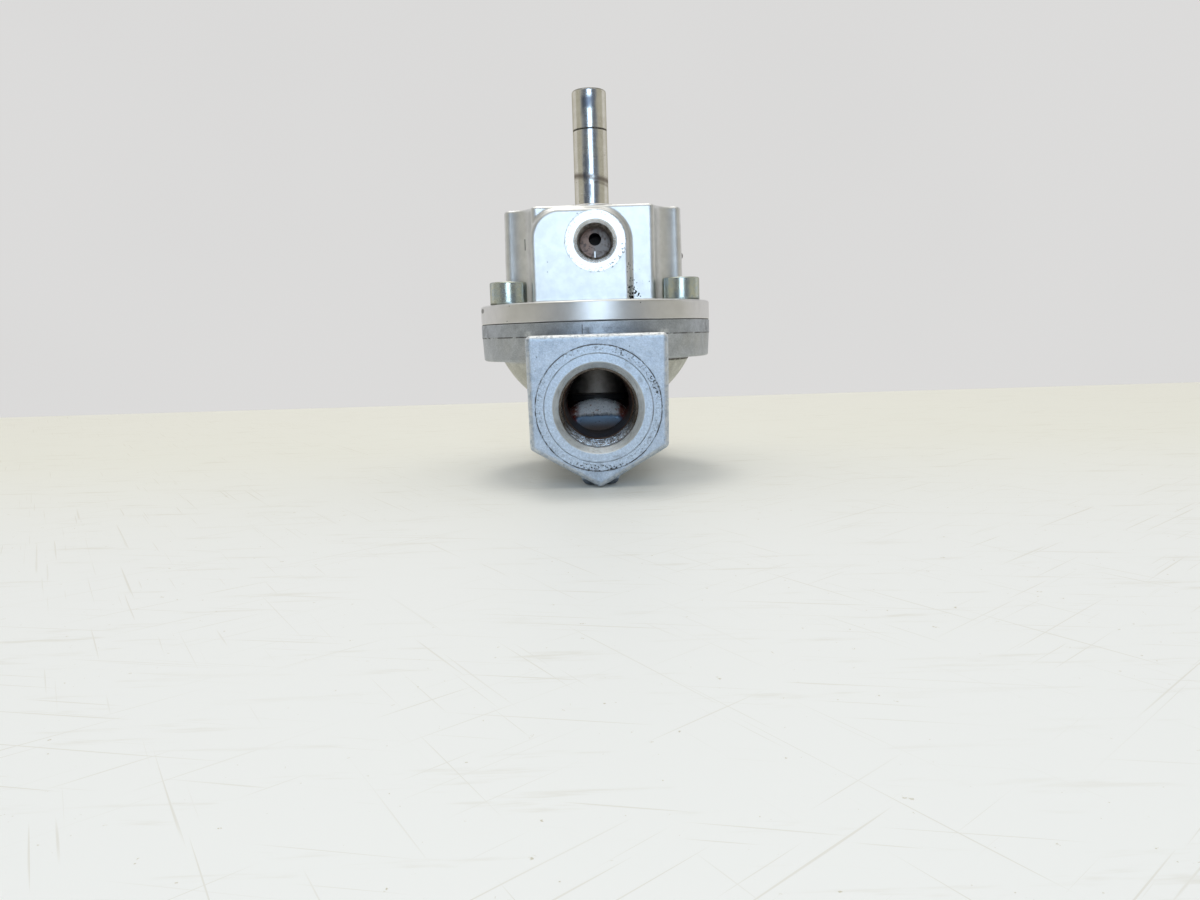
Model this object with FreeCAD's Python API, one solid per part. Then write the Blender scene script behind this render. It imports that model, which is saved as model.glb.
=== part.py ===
"""In-line solenoid poppet valve: threaded body, four-screw bonnet and armature tube.

Frame in millimetres: Z is up, the flow axis runs along Y, and the port with the
inner wall in its lower half faces -Y. The origin is the bottom centre of the body.
"""
import FreeCAD, Part
import math
import os

V = FreeCAD.Vector
UP = V(0, 0, 1)
BACK = V(0, 1, 0)
RIGHT = V(1, 0, 0)
CENTRE = V(0, 0, 0)
OVER = 1.0
HEX_SIDES = 6
HEX_STEP = 2.0 * math.pi / HEX_SIDES

# Body, outside: heights are above the flow axis
port_hex_af = 34.5
body_length = 80.0
block_top_rise = 18.13
block_top_spread = 0.3
block_edge_r = 1.4
flange_margin = 5.5
flange_thick = 10.05
flange_band = 3.6
flange_band_step = 0.12
flange_joint_edge = 0.25
joint_rise = 21.43
flange_draft_deg = 2.7
flange_low_edge_r = 0.7
bowl_margin = 2.6
bowl_centre_rise = 24.78
foot_half = 4.7
foot_setback = 4.0
foot_edge_r = 2.2

# Main ports, G 1/2
port_minor_r = 9.316
rear_minor_r = 9.486
port_major_r = 10.478
port_pitch = 1.814
port_thread_depth = 14.0
port_thread_start = 1.04
port_chamfer_r = 11.4
port_face_r = 15.6
port_face_depth = 0.25
port_ring_r = 13.5
port_ring_half = 0.09
port_runout_step = 0.316
thread_flank = 0.37
thread_root = 0.06
thread_lap = 0.2

# Passages and inner wall of the body: rises and drops are from the flow axis
passage_r = 8.4
chamber_r = 16.5
chamber_floor_drop = 2.12
wall_front_reach = 13.5
wall_arch_r = 11.3
wall_top_rise = 0.3
wall_nose_r = 3.6
under_seat_r = 6.6
under_seat_drop = 8.32
outlet_knee_y = 13.0
outlet_knee_drop = 7.32
outlet_taper = 5.0
outlet_wall = 1.8

# Seat
seat_wall = 2.3
seat_boss_wall = 1.6
seat_bore_r = 6.3
seat_drop = 0.62
seat_height = 4.1
seat_land = 0.7

# Bonnet: rises are above the joint face
plate_thick = 5.2
plate_edge_r = 0.7
plate_joint_edge = 0.25
bonnet_rise = 31.1
wing_reach = 1.5
wing_draft_step = 0.4
wing_corner_r = 2.0
screw_groove_step = 7.4
screw_angle_deg = 30.0
scoop_r = 6.78
block_corner_r = 1.6
bonnet_top_edge_r = 0.9
pad_proud = 2.5
pad_side_step = 0.4
pad_rise = 30.15
pad_corner_r = 8.0
pad_round_step = 0.5
pad_round_r = 8.7
pad_edge_r = 1.3
pad_lap = 3.0
pad_root_r = 1.1
spigot_depth = 6.35
spigot_clearance = 0.05
guide_bore_r = 10.04
guide_roof_rise = 12.65
guide_mouth_chamfer = 0.6

# Pilot port, G 1/8
pilot_x = 0.5
pilot_rise = 21.35
pilot_minor_r = 4.283
pilot_major_r = 4.864
pilot_pitch = 0.907
pilot_thread_depth = 8.0
pilot_thread_start = 0.59
pilot_chamfer_r = 5.85
pilot_face_r = 8.1
pilot_face_depth = 0.15
pilot_drill_r = 1.7
pilot_drill_step = 1.25

# Pilot passages
pilot_cavity_depth = 4.85
tube_seal_room = 0.95
riser_r = 0.6
riser_x = 1.7
riser_y = 2.8
feed_r = 0.8
feed_x = 6.8
cross_r = 0.9
cross_rise = 18.35
plug_r = 1.25
plug_proud = 1.15

# Screws and face seal
screw_r = 3.0
screw_play = 0.05
screw_hole_r = 3.3
screw_head_r = 5.0
screw_head_h = 6.0
screw_length = 14.0
screw_socket_af = 5.0
screw_socket_depth = 3.0
screw_edge_r = 0.5
screw_tip_room = 1.2
joint_oring_step = 3.1
joint_oring_section_r = 0.9
joint_groove_depth = 1.4
joint_groove_play = 0.2

# Armature tube, pole piece and bush
tube_r = 4.77
tube_wall = 0.7
tube_length = 32.55
cap_length = 10.75
tube_top_edge_r = 0.6
tube_groove_half = 0.17
tube_groove_depth = 0.25
tube_relief = 0.17
tube_foot_step = 0.33
tube_foot_h = 1.4
pole_play = 0.02
shading_rim = 0.77
shading_width = 0.7
shading_depth = 1.2
bush_disc_step = 1.05
bush_disc_h = 1.35
bush_play = 0.05
bush_edge = 0.35
nozzle_height = 1.8
nozzle_tip_r = 1.2
nozzle_flange_r = 2.3
nozzle_flange_h = 0.8
nozzle_spigot_r = 1.9
nozzle_spigot_h = 1.0
nozzle_bore_r = 0.75

# Plunger
plunger_play = 0.07
plunger_length = 11.7
plunger_stroke = 1.5
plunger_seal_proud = 0.4
plunger_seal_r = 1.9
plunger_seal_h = 2.6
plunger_spring_bore_r = 2.1
plunger_spring_depth = 6.5
plunger_spring_wire_r = 0.22
plunger_spring_mid_r = 1.55
plunger_spring_turns = 9.0
plunger_slot_depth = 0.45
plunger_slot_half = 0.6

# Piston and poppet: steps are from the piston's lower or upper end
piston_play = 0.04
piston_length = 24.7
piston_edge = 0.5
piston_spring_bore_r = 6.6
piston_spring_floor_step = 9.7
piston_bleed_r = 0.5
piston_bleed_step = 11.3
piston_seal_step = 4.4
piston_seal_h = 2.6
piston_seal_depth = 1.9
guide_ring_step = 9.4
guide_ring_h = 3.6
guide_ring_depth = 0.9
ring_relief = 0.02
disc_r = 7.9
disc_h = 2.0
retainer_r = 5.2
retainer_h = 1.2
poppet_screw_r = 2.0
poppet_screw_head_r = 3.5
poppet_screw_head_h = 2.4
poppet_screw_reach = 7.0
poppet_screw_play = 0.05
poppet_screw_slot = 0.5
poppet_screw_edge_r = 0.5
return_wire_r = 0.6
return_mid_r = 5.5
return_turns = 7.0
spring_end_gap = 0.02

# Worked out: rings about the chamber, from the seal out to the flange
joint_oring_mid_r = chamber_r + joint_oring_step
screw_circle_r = joint_oring_mid_r + screw_groove_step
flange_r = screw_circle_r + flange_margin
bowl_r = flange_r - bowl_margin

# Worked out: body
port_z = port_hex_af / 2.0 / math.cos(HEX_STEP / 2.0)
half_width = port_hex_af / 2.0
half_length = body_length / 2.0
block_top_z = port_z + block_top_rise
joint_z = port_z + joint_rise
flange_low_z = joint_z - flange_thick
flange_band_z = joint_z - flange_band
bowl_centre_z = port_z + bowl_centre_rise
port_runout_r = port_minor_r - port_runout_step
chamber_floor_z = port_z - chamber_floor_drop
wall_front_y = -wall_front_reach
wall_top_z = port_z + wall_top_rise
under_seat_z = port_z - under_seat_drop
outlet_knee_z = port_z - outlet_knee_drop
seat_outer_r = seat_bore_r + seat_wall
seat_z = port_z - seat_drop
seat_low_z = seat_z - seat_height

# Worked out: bonnet and its passages
plate_top_z = joint_z + plate_thick
bonnet_top_z = joint_z + bonnet_rise
spigot_low_z = joint_z - spigot_depth
guide_roof_z = joint_z + guide_roof_rise
screw_x = screw_circle_r * math.cos(math.radians(screw_angle_deg))
screw_y = screw_circle_r * math.sin(math.radians(screw_angle_deg))
screw_places = [(sx * screw_x, sy * screw_y) for sx in (1, -1) for sy in (1, -1)]
block_half_x = screw_x - scoop_r
wing_half_low = screw_x + wing_reach
wing_half_top = wing_half_low - wing_draft_step
block_half_y = screw_y
pad_face_y = -(block_half_y + pad_proud)
pad_left_x = -(block_half_x + pad_side_step)
pilot_z = joint_z + pilot_rise
pad_round_x = pilot_x + pad_round_step
pad_top_z = joint_z + pad_rise
pad_round_z = pad_top_z - pad_round_r
pilot_drill_z = pilot_z + pilot_drill_step
pilot_cavity_z = bonnet_top_z - pilot_cavity_depth
cross_z = joint_z + cross_rise
wing_draft = (wing_half_low - wing_half_top) / (bonnet_top_z - plate_top_z)
plug_x = wing_half_low - wing_draft * (cross_z - plate_top_z) + plug_proud - plug_r
joint_groove_half = joint_oring_section_r + joint_groove_play

# Worked out: armature
tube_bore_r = tube_r - tube_wall
tube_relief_r = tube_r - tube_relief
tube_foot_r = tube_r + tube_foot_step
pilot_cavity_r = tube_foot_r + tube_seal_room
bush_disc_r = pilot_cavity_r + bush_disc_step
shading_outer_r = tube_bore_r - shading_rim
shading_inner_r = shading_outer_r - shading_width
tube_top_z = bonnet_top_z + tube_length
tube_joint_z = tube_top_z - cap_length
bush_top_z = bonnet_top_z + bush_disc_h
nozzle_top_z = pilot_cavity_z + nozzle_height
plunger_r = tube_bore_r - plunger_play
plunger_low_z = nozzle_top_z + plunger_seal_proud
plunger_top_z = plunger_low_z + plunger_length
pole_face_z = plunger_top_z + plunger_stroke

# Worked out: piston
piston_r = guide_bore_r - piston_play
piston_low_z = seat_z + disc_h
piston_top_z = piston_low_z + piston_length
piston_spring_floor_z = piston_low_z + piston_spring_floor_step
piston_bleed_z = piston_low_z + piston_bleed_step
piston_seal_z = piston_top_z - piston_seal_step
piston_seal_inner_r = piston_r - piston_seal_depth
guide_ring_z = piston_top_z - guide_ring_step
guide_ring_inner_r = piston_r - guide_ring_depth


def cyl(radius, low, high, x=0.0, y=0.0):
    """Upright cylinder between two heights."""
    return Part.makeCylinder(radius, high - low, V(x, y, low))


def ring(outer, inner, low, high):
    """Upright ring between two heights."""
    return cyl(outer, low, high).cut(cyl(inner, low - OVER, high + OVER))


def cone(low_r, high_r, low, high):
    """Upright cone between two heights."""
    return Part.makeCone(low_r, high_r, high - low, V(0, 0, low))


def turned(points):
    """Solid of revolution about Z from (radius, height) points."""
    corners = [V(r, 0, z) for r, z in points]
    face = Part.Face(Part.makePolygon(corners + [corners[0]]))
    return face.revolve(CENTRE, UP, 360)


def join(shapes):
    """Union of solids with seams cleaned."""
    return shapes[0].multiFuse(shapes[1:]).removeSplitter()


def edges_where(shape, test):
    """Edges whose two ends and middle all pass a test."""
    found = []
    for edge in shape.Edges:
        first, last = edge.ParameterRange
        probes = [edge.valueAt(first), edge.valueAt((first + last) / 2.0), edge.valueAt(last)]
        if all(test(p) for p in probes):
            found.append(edge)
    return found


def near(value, target, room=0.01):
    return abs(value - target) < room


def at_height(shape, z):
    """Edges that lie at one height."""
    return edges_where(shape, lambda p: near(p.z, z))


def thread_grooves(minor_r, major_r, pitch, start, depth):
    """Thread grooves as rings about Z, with crest flats at the minor radius."""
    root_half = thread_root * pitch
    flank_half = (thread_flank + thread_root) * pitch
    inner_r = minor_r - thread_lap
    grooves = []
    for index in range(int((depth - start) / pitch)):
        mid = start + (index + 0.5) * pitch
        grooves.append(turned([
            (inner_r, mid - flank_half),
            (major_r, mid - root_half),
            (major_r, mid + root_half),
            (inner_r, mid + flank_half),
        ]))
    return grooves


def threaded_port(minor_r, major_r, pitch, start, depth, chamfer_r):
    """Everything cut away for a threaded port that opens at z = 0 and runs down -Z."""
    chamfer_depth = chamfer_r - minor_r
    hole = cyl(minor_r, -depth, OVER)
    mouth = cone(minor_r, chamfer_r, -chamfer_depth, 0.0)
    lead = cyl(chamfer_r, 0.0, OVER)
    grooves = thread_grooves(minor_r, major_r, pitch, start, depth)
    flipped = [g.mirror(CENTRE, UP) for g in grooves]
    return hole.multiFuse([mouth, lead] + flipped)


def aim_out_of_front(shape, x, face_y, z):
    """Turn a shape made along +Z so that +Z points out of the front, and place it."""
    shape = shape.copy()
    shape.rotate(CENTRE, RIGHT, 90)
    shape.translate(V(x, face_y, z))
    return shape


def mirrored_y(shape):
    return shape.mirror(CENTRE, BACK)


def coil(mid_r, wire_r, low, high, turns):
    """Compression spring with its wire inside the two heights."""
    length = high - low - 2.0 * wire_r
    helix = Part.makeHelix(length / turns, length, mid_r)
    section = Part.Wire(Part.makeCircle(wire_r, V(mid_r, 0, 0), BACK))
    spring = Part.Wire(helix.Edges).makePipeShell([section], True, False)
    spring.translate(V(0, 0, low + wire_r))
    return spring


def tube_between(radius, start, finish):
    """Round bar from one point to another."""
    return Part.makeCylinder(radius, start.distanceToPoint(finish), start, finish - start)


def torus_ring(mid_r, section_r, mid_z):
    return Part.makeTorus(mid_r, section_r, V(0, 0, mid_z), UP)


def port_block():
    """Passage block: half a hexagon below the flow axis and nearly upright sides above it."""
    side_z = half_width * math.tan(HEX_STEP / 2.0)
    top_half = half_width + block_top_spread
    outline = [
        V(0, -half_length, 0),
        V(half_width, -half_length, side_z),
        V(top_half, -half_length, block_top_z),
        V(-top_half, -half_length, block_top_z),
        V(-half_width, -half_length, side_z),
    ]
    face = Part.Face(Part.makePolygon(outline + [outline[0]]))
    block = face.extrude(V(0, body_length, 0))
    return block.makeFillet(block_edge_r, block.Edges)


def body_flange():
    """Round flange: a turned band on top and a cast part with draft below it."""
    draft = math.tan(math.radians(flange_draft_deg))
    cast_r = flange_r - flange_band_step
    low_r = cast_r - (flange_band_z - flange_low_z) * draft
    flange = turned([
        (0, flange_low_z),
        (low_r, flange_low_z),
        (cast_r, flange_band_z),
        (flange_r, flange_band_z),
        (flange_r, joint_z - flange_joint_edge),
        (flange_r - flange_joint_edge, joint_z),
        (0, joint_z),
    ])
    low_edge = edges_where(flange, lambda p: near(p.z, flange_low_z) and near(math.hypot(p.x, p.y), low_r))
    return flange.makeFillet(flange_low_edge_r, low_edge)


def body_outside():
    bowl = Part.makeSphere(bowl_r, V(0, 0, bowl_centre_z))
    bowl = bowl.common(cyl(flange_r, 0.0, joint_z))
    foot_reach = half_length - foot_setback
    foot_corner = V(-foot_half, -foot_reach, 0)
    foot = Part.makeBox(2.0 * foot_half, 2.0 * foot_reach, port_z - port_major_r, foot_corner)
    foot = foot.makeFillet(foot_edge_r, edges_where(foot, lambda p: near(p.z, 0.0)))
    return join([port_block(), body_flange(), bowl, foot])


def outlet_route(radius):
    """Round space from under the seat, level to the knee and then up to the rear port."""
    under_seat = V(0, 0, under_seat_z)
    knee = V(0, outlet_knee_y, outlet_knee_z)
    mouth = V(0, half_length - port_thread_depth, port_z)
    ball = Part.makeSphere(radius, under_seat)
    bend = Part.makeSphere(radius, knee)
    level = tube_between(radius, under_seat, knee)
    rise = tube_between(radius, knee, mouth)
    return ball.multiFuse([bend, level, rise])


def inner_wall():
    """Arched wall between the front passage and the space under the seat."""
    centre_z = wall_top_z - wall_arch_r
    wall = Part.makeCylinder(wall_arch_r, -wall_front_y, V(0, wall_front_y, centre_z), BACK)
    front = edges_where(wall, lambda p: near(p.y, wall_front_y))
    wall = wall.makeFillet(wall_nose_r, front)
    boss = cyl(seat_outer_r + seat_boss_wall, 0.0, seat_z)
    hood = outlet_route(under_seat_r + outlet_wall)
    poppet_room = cyl(seat_outer_r + seat_boss_wall, seat_z, joint_z)
    return wall.multiFuse([boss, hood.cut(poppet_room)])


def inlet_cavity():
    """Front passage and the round chamber about the seat."""
    inner_y = -(half_length - port_thread_depth)
    taper = Part.makeCone(port_runout_r, passage_r, wall_front_y - inner_y, V(0, inner_y, port_z), BACK)
    end = Part.makeCylinder(passage_r, -wall_front_y, V(0, wall_front_y, port_z), BACK)
    chamber = cyl(chamber_r, chamber_floor_z, joint_z + OVER)
    return taper.multiFuse([end, chamber]).cut(inner_wall())


def outlet_cavity():
    """Rear passage, down to the space under the seat, and the throat up to the seat."""
    mouth = V(0, half_length - port_thread_depth, port_z)
    taper = Part.makeCone(port_runout_r, passage_r, outlet_taper, mouth, -BACK)
    throat = cyl(seat_bore_r, under_seat_z, seat_z)
    return outlet_route(under_seat_r).multiFuse([taper, throat])


def main_port_cut(minor_r):
    """One main port at the front face, with its spot face and scribed ring."""
    port = threaded_port(minor_r, port_major_r, port_pitch, port_thread_start,
                         port_thread_depth, port_chamfer_r)
    port.translate(V(0, 0, -port_face_depth))
    face = cyl(port_face_r, -port_face_depth, OVER)
    scribe = ring(port_ring_r + port_ring_half, port_ring_r - port_ring_half,
                  -port_face_depth - port_ring_half, 0.0)
    return aim_out_of_front(port.multiFuse([face, scribe]), 0.0, -half_length, port_z)


def make_valve_body():
    front = main_port_cut(port_minor_r)
    rear = mirrored_y(main_port_cut(rear_minor_r))
    seat_pocket = cyl(seat_outer_r, seat_low_z, wall_top_z + OVER)
    groove = ring(joint_oring_mid_r + joint_groove_half, joint_oring_mid_r - joint_groove_half,
                  joint_z - joint_groove_depth, joint_z + OVER)
    tip_z = plate_top_z - screw_length
    tap_low_z = tip_z - screw_tip_room
    taps = [cyl(screw_r + screw_play, tap_low_z, joint_z + OVER, x, y) for x, y in screw_places]
    cuts = [front, rear, inlet_cavity(), outlet_cavity(), seat_pocket, groove] + taps
    body = body_outside()
    for shape in cuts:
        body = body.cut(shape)
    return body


def make_seat_ring():
    lip = seat_bore_r + seat_land
    return turned([
        (seat_bore_r, seat_low_z),
        (seat_outer_r, seat_low_z),
        (seat_outer_r, seat_z - seat_land),
        (lip + seat_land, seat_z - seat_land),
        (lip, seat_z),
        (seat_bore_r, seat_z),
    ])


def clover_wire(wing_half, z):
    """Outline of the bonnet block: two flat faces, four scoops about the screws, two wings."""
    tip_y = screw_y - math.sqrt(scoop_r ** 2 - (wing_half - screw_x) ** 2)
    tip_angle = math.atan2(tip_y - screw_y, wing_half - screw_x)
    middle_angle = (tip_angle - math.pi) / 2.0
    mid_x = screw_x + scoop_r * math.cos(middle_angle)
    mid_y = screw_y + scoop_r * math.sin(middle_angle)

    def scoop(sx, sy):
        tip = V(sx * wing_half, sy * tip_y, z)
        mid = V(sx * mid_x, sy * mid_y, z)
        root = V(sx * block_half_x, sy * block_half_y, z)
        return [tip, mid, root]

    turns = [scoop(1, 1), scoop(-1, 1)[::-1], scoop(-1, -1), scoop(1, -1)[::-1]]
    edges = []
    for index, (first, middle, last) in enumerate(turns):
        following = turns[(index + 1) % len(turns)][0]
        edges.append(Part.Arc(first, middle, last).toShape())
        edges.append(Part.LineSegment(last, following).toShape())
    return Part.Wire(edges)


def bonnet_block():
    low = clover_wire(wing_half_low, plate_top_z)
    top = clover_wire(wing_half_top, bonnet_top_z)
    block = Part.makeLoft([low, top], True, True)
    for low_x, high_x, radius in ((0.0, screw_x, block_corner_r), (screw_x, flange_r, wing_corner_r)):
        corners = [e for e in block.Edges if near(e.BoundBox.ZLength, bonnet_top_z - plate_top_z)]
        corners = [e for e in corners if low_x < abs(e.CenterOfMass.x) < high_x]
        block = block.makeFillet(radius, corners)
    return block.makeFillet(bonnet_top_edge_r, at_height(block, bonnet_top_z))


def pilot_pad():
    """Raised pad on the front of the block, round about the pilot port at its right."""
    back_y = -block_half_y + pad_lap
    right_x = pad_round_x + pad_round_r
    corner_x = pad_left_x + pad_corner_r
    corner_z = pad_top_z - pad_corner_r
    corner_side = pad_corner_r * math.cos(math.pi / 4)
    round_side = pad_round_r * math.cos(math.pi / 4)

    def at(x, z):
        return V(x, back_y, z)

    left_low = at(pad_left_x, plate_top_z)
    left_high = at(pad_left_x, corner_z)
    corner_mid = at(corner_x - corner_side, corner_z + corner_side)
    top_left = at(corner_x, pad_top_z)
    top_right = at(pad_round_x, pad_top_z)
    round_mid = at(pad_round_x + round_side, pad_round_z + round_side)
    right_high = at(right_x, pad_round_z)
    right_low = at(right_x, plate_top_z)
    edges = [
        Part.LineSegment(left_low, left_high).toShape(),
        Part.Arc(left_high, corner_mid, top_left).toShape(),
        Part.LineSegment(top_left, top_right).toShape(),
        Part.Arc(top_right, round_mid, right_high).toShape(),
        Part.LineSegment(right_high, right_low).toShape(),
        Part.LineSegment(right_low, left_low).toShape(),
    ]
    face = Part.Face(Part.Wire(edges))
    pad = face.extrude(V(0, pad_face_y - back_y, 0))
    front = edges_where(pad, lambda p: near(p.y, pad_face_y) and p.z > plate_top_z + pad_edge_r)
    pad = pad.makeFillet(pad_edge_r, front)
    return pad.cut(cyl(scoop_r, plate_top_z - OVER, bonnet_top_z, -screw_x, -screw_y))


def pad_root_edges(casting):
    """Inside corners where the pad meets the front of the block, and its foot on the plate."""
    left_x = -block_half_x + block_corner_r
    right_x = pad_round_x + pad_round_r

    def side(p):
        return near(p.y, -block_half_y) and left_x - OVER < p.x < right_x + OVER and p.z > plate_top_z - OVER

    def foot(edge):
        return edge.BoundBox.YMin < -block_half_y - OVER / 2.0 and edge.BoundBox.YMin > pad_face_y - OVER

    sides = [e for e in edges_where(casting, side) if e.BoundBox.XMax > left_x + OVER / 2.0]
    return sides + [e for e in at_height(casting, plate_top_z) if foot(e)]


def bonnet_outside():
    plate = cyl(flange_r, joint_z, plate_top_z)
    plate = plate.makeFillet(plate_edge_r, at_height(plate, plate_top_z))
    plate = plate.makeChamfer(plate_joint_edge, at_height(plate, joint_z))
    casting = join([plate, bonnet_block(), pilot_pad()])
    casting = casting.makeFillet(pad_root_r, pad_root_edges(casting))
    spigot = cyl(chamber_r - spigot_clearance, spigot_low_z, joint_z + OVER)
    return join([casting, spigot])


def pilot_port_cut():
    """Pilot port, its spot face, and the small drilled hole that goes on to the nozzle."""
    port = threaded_port(pilot_minor_r, pilot_major_r, pilot_pitch, pilot_thread_start,
                         pilot_thread_depth, pilot_chamfer_r)
    port.translate(V(0, 0, -pilot_face_depth))
    face = cyl(pilot_face_r, -pilot_face_depth, OVER)
    pilot = aim_out_of_front(port.fuse(face), pilot_x, pad_face_y, pilot_z)
    drill_start = V(pilot_x, pad_face_y + pilot_thread_depth - OVER, pilot_drill_z)
    drill_end = V(pilot_x, nozzle_bore_r, pilot_drill_z)
    return pilot.fuse(tube_between(pilot_drill_r, drill_start, drill_end))


def pilot_passages():
    """Tube cavity, nozzle seat, and the drillings from the cavity to the piston's chamber."""
    ball = V(plug_x, riser_y, cross_z)
    riser_foot = V(riser_x, riser_y, cross_z)
    mouth = ball + V(2.0 * plug_r + OVER, 0, 0)
    return [
        cyl(pilot_cavity_r, pilot_cavity_z, bonnet_top_z + OVER),
        cyl(nozzle_spigot_r, pilot_cavity_z - nozzle_spigot_h, pilot_cavity_z + OVER),
        cyl(nozzle_bore_r, pilot_drill_z, pilot_cavity_z),
        cyl(riser_r, cross_z, pilot_cavity_z + OVER, riser_x, riser_y),
        cyl(feed_r, guide_roof_z - OVER, cross_z, feed_x, riser_y),
        tube_between(cross_r, riser_foot, ball),
        tube_between(plug_r, ball, mouth),
        Part.makeSphere(plug_r, ball),
    ]


def make_bonnet():
    mouth_r = guide_bore_r + guide_mouth_chamfer
    cuts = [
        pilot_port_cut(),
        cyl(guide_bore_r, spigot_low_z - OVER, guide_roof_z),
        cone(mouth_r, guide_bore_r, spigot_low_z, spigot_low_z + guide_mouth_chamfer),
    ]
    cuts += pilot_passages()
    cuts += [cyl(screw_hole_r, joint_z - OVER, plate_top_z + OVER, x, y) for x, y in screw_places]
    bonnet = bonnet_outside()
    for shape in cuts:
        bonnet = bonnet.cut(shape)
    return bonnet


def make_passage_plug():
    return Part.makeSphere(plug_r, V(plug_x, riser_y, cross_z))


def bonnet_screw(x, y):
    head_top_z = plate_top_z + screw_head_h
    tip_z = plate_top_z - screw_length
    socket_z = head_top_z - screw_socket_depth
    head = cyl(screw_head_r, plate_top_z, head_top_z)
    head = head.makeFillet(screw_edge_r, at_height(head, head_top_z))
    shank = cyl(screw_r, tip_z, plate_top_z + OVER)
    shank = shank.makeChamfer(screw_edge_r, at_height(shank, tip_z))
    corner_r = screw_socket_af / 2.0 / math.cos(HEX_STEP / 2.0)
    angles = [HEX_STEP * index for index in range(HEX_SIDES)]
    corners = [V(corner_r * math.cos(a), corner_r * math.sin(a), socket_z) for a in angles]
    outline = Part.Face(Part.makePolygon(corners + [corners[0]]))
    socket = outline.extrude(V(0, 0, screw_socket_depth + OVER))
    screw = head.fuse(shank).cut(socket)
    screw.translate(V(x, y, 0))
    return screw


def make_bonnet_screws():
    return Part.makeCompound([bonnet_screw(x, y) for x, y in screw_places])


def make_bonnet_oring():
    low_z = joint_z - joint_groove_depth
    full = torus_ring(joint_oring_mid_r, joint_oring_section_r, low_z + joint_oring_section_r)
    return full.common(cyl(flange_r, low_z, joint_z))


def make_pilot_nozzle():
    flange_z = pilot_cavity_z + nozzle_flange_h
    return turned([
        (nozzle_bore_r, pilot_cavity_z - nozzle_spigot_h),
        (nozzle_spigot_r, pilot_cavity_z - nozzle_spigot_h),
        (nozzle_spigot_r, pilot_cavity_z),
        (nozzle_flange_r, pilot_cavity_z),
        (nozzle_flange_r, flange_z),
        (nozzle_tip_r, nozzle_top_z),
        (nozzle_bore_r, nozzle_top_z),
    ])


def make_armature_tube():
    foot_z = pilot_cavity_z + tube_foot_h
    tube = ring(tube_r, tube_bore_r, bush_top_z, tube_joint_z)
    relief = ring(tube_relief_r, tube_bore_r, pilot_cavity_z, bush_top_z)
    foot = ring(tube_foot_r, tube_bore_r, pilot_cavity_z, foot_z)
    notch_low_z = tube_joint_z - tube_groove_half
    notch = ring(tube_r + OVER, tube_r - tube_groove_depth, notch_low_z, tube_joint_z + OVER)
    return join([tube, relief, foot]).cut(notch)


def make_tube_oring():
    section_r = (pilot_cavity_r - tube_foot_r) / 2.0
    return torus_ring(tube_foot_r + section_r, section_r, pilot_cavity_z + tube_foot_h / 2.0)


def make_tube_bush():
    """Retaining bush: a screwed spigot over the tube's foot, under a thin round disc."""
    low_z = pilot_cavity_z + tube_foot_h
    inner_r = tube_r + bush_play
    spigot_r = pilot_cavity_r - bush_play
    return turned([
        (inner_r, low_z),
        (spigot_r, low_z),
        (spigot_r, bonnet_top_z),
        (bush_disc_r, bonnet_top_z),
        (bush_disc_r, bush_top_z - bush_edge),
        (bush_disc_r - bush_edge, bush_top_z),
        (inner_r, bush_top_z),
    ])


def make_pole_piece():
    core = cyl(tube_bore_r - pole_play, pole_face_z, tube_joint_z + OVER)
    cap = cyl(tube_r, tube_joint_z, tube_top_z)
    cap = cap.makeFillet(tube_top_edge_r, at_height(cap, tube_top_z))
    notch_top_z = tube_joint_z + tube_groove_half
    notch = ring(tube_r + OVER, tube_r - tube_groove_depth, tube_joint_z - OVER, notch_top_z)
    groove = ring(shading_outer_r, shading_inner_r, pole_face_z - OVER, pole_face_z + shading_depth)
    return core.fuse(cap).cut(notch).cut(groove)


def make_shading_ring():
    return ring(shading_outer_r, shading_inner_r, pole_face_z, pole_face_z + shading_depth)


def make_plunger():
    low_z = plunger_low_z - OVER
    top_z = plunger_top_z + OVER
    flat_x = plunger_r - plunger_slot_depth
    cuts = [
        cyl(plunger_seal_r, low_z, nozzle_top_z + plunger_seal_h),
        cyl(plunger_spring_bore_r, plunger_top_z - plunger_spring_depth, top_z),
    ]
    for start_x in (flat_x, -plunger_r - OVER):
        corner = V(start_x, -plunger_slot_half, low_z)
        width = plunger_slot_depth + OVER
        cuts.append(Part.makeBox(width, 2.0 * plunger_slot_half, top_z - low_z, corner))
    plunger = cyl(plunger_r, plunger_low_z, plunger_top_z)
    for shape in cuts:
        plunger = plunger.cut(shape)
    return plunger


def make_plunger_seal():
    return cyl(plunger_seal_r, nozzle_top_z, nozzle_top_z + plunger_seal_h)


def make_plunger_spring():
    low_z = plunger_top_z - plunger_spring_depth
    return coil(plunger_spring_mid_r, plunger_spring_wire_r, low_z + spring_end_gap,
                pole_face_z - spring_end_gap, plunger_spring_turns)


def make_piston():
    piston = cyl(piston_r, piston_low_z, piston_top_z)
    ends = at_height(piston, piston_low_z) + at_height(piston, piston_top_z)
    piston = piston.makeChamfer(piston_edge, ends)
    outer_r = piston_r + OVER
    screw_bore_r = poppet_screw_r + poppet_screw_play
    cuts = [
        cyl(piston_spring_bore_r, piston_spring_floor_z, piston_top_z + OVER),
        ring(outer_r, piston_seal_inner_r, piston_seal_z, piston_seal_z + piston_seal_h),
        ring(outer_r, guide_ring_inner_r, guide_ring_z, guide_ring_z + guide_ring_h),
        cyl(screw_bore_r, piston_low_z - OVER, piston_low_z + poppet_screw_reach + OVER),
        tube_between(piston_bleed_r, V(0, 0, piston_bleed_z), V(0, outer_r, piston_bleed_z)),
    ]
    for shape in cuts:
        piston = piston.cut(shape)
    return piston


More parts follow.
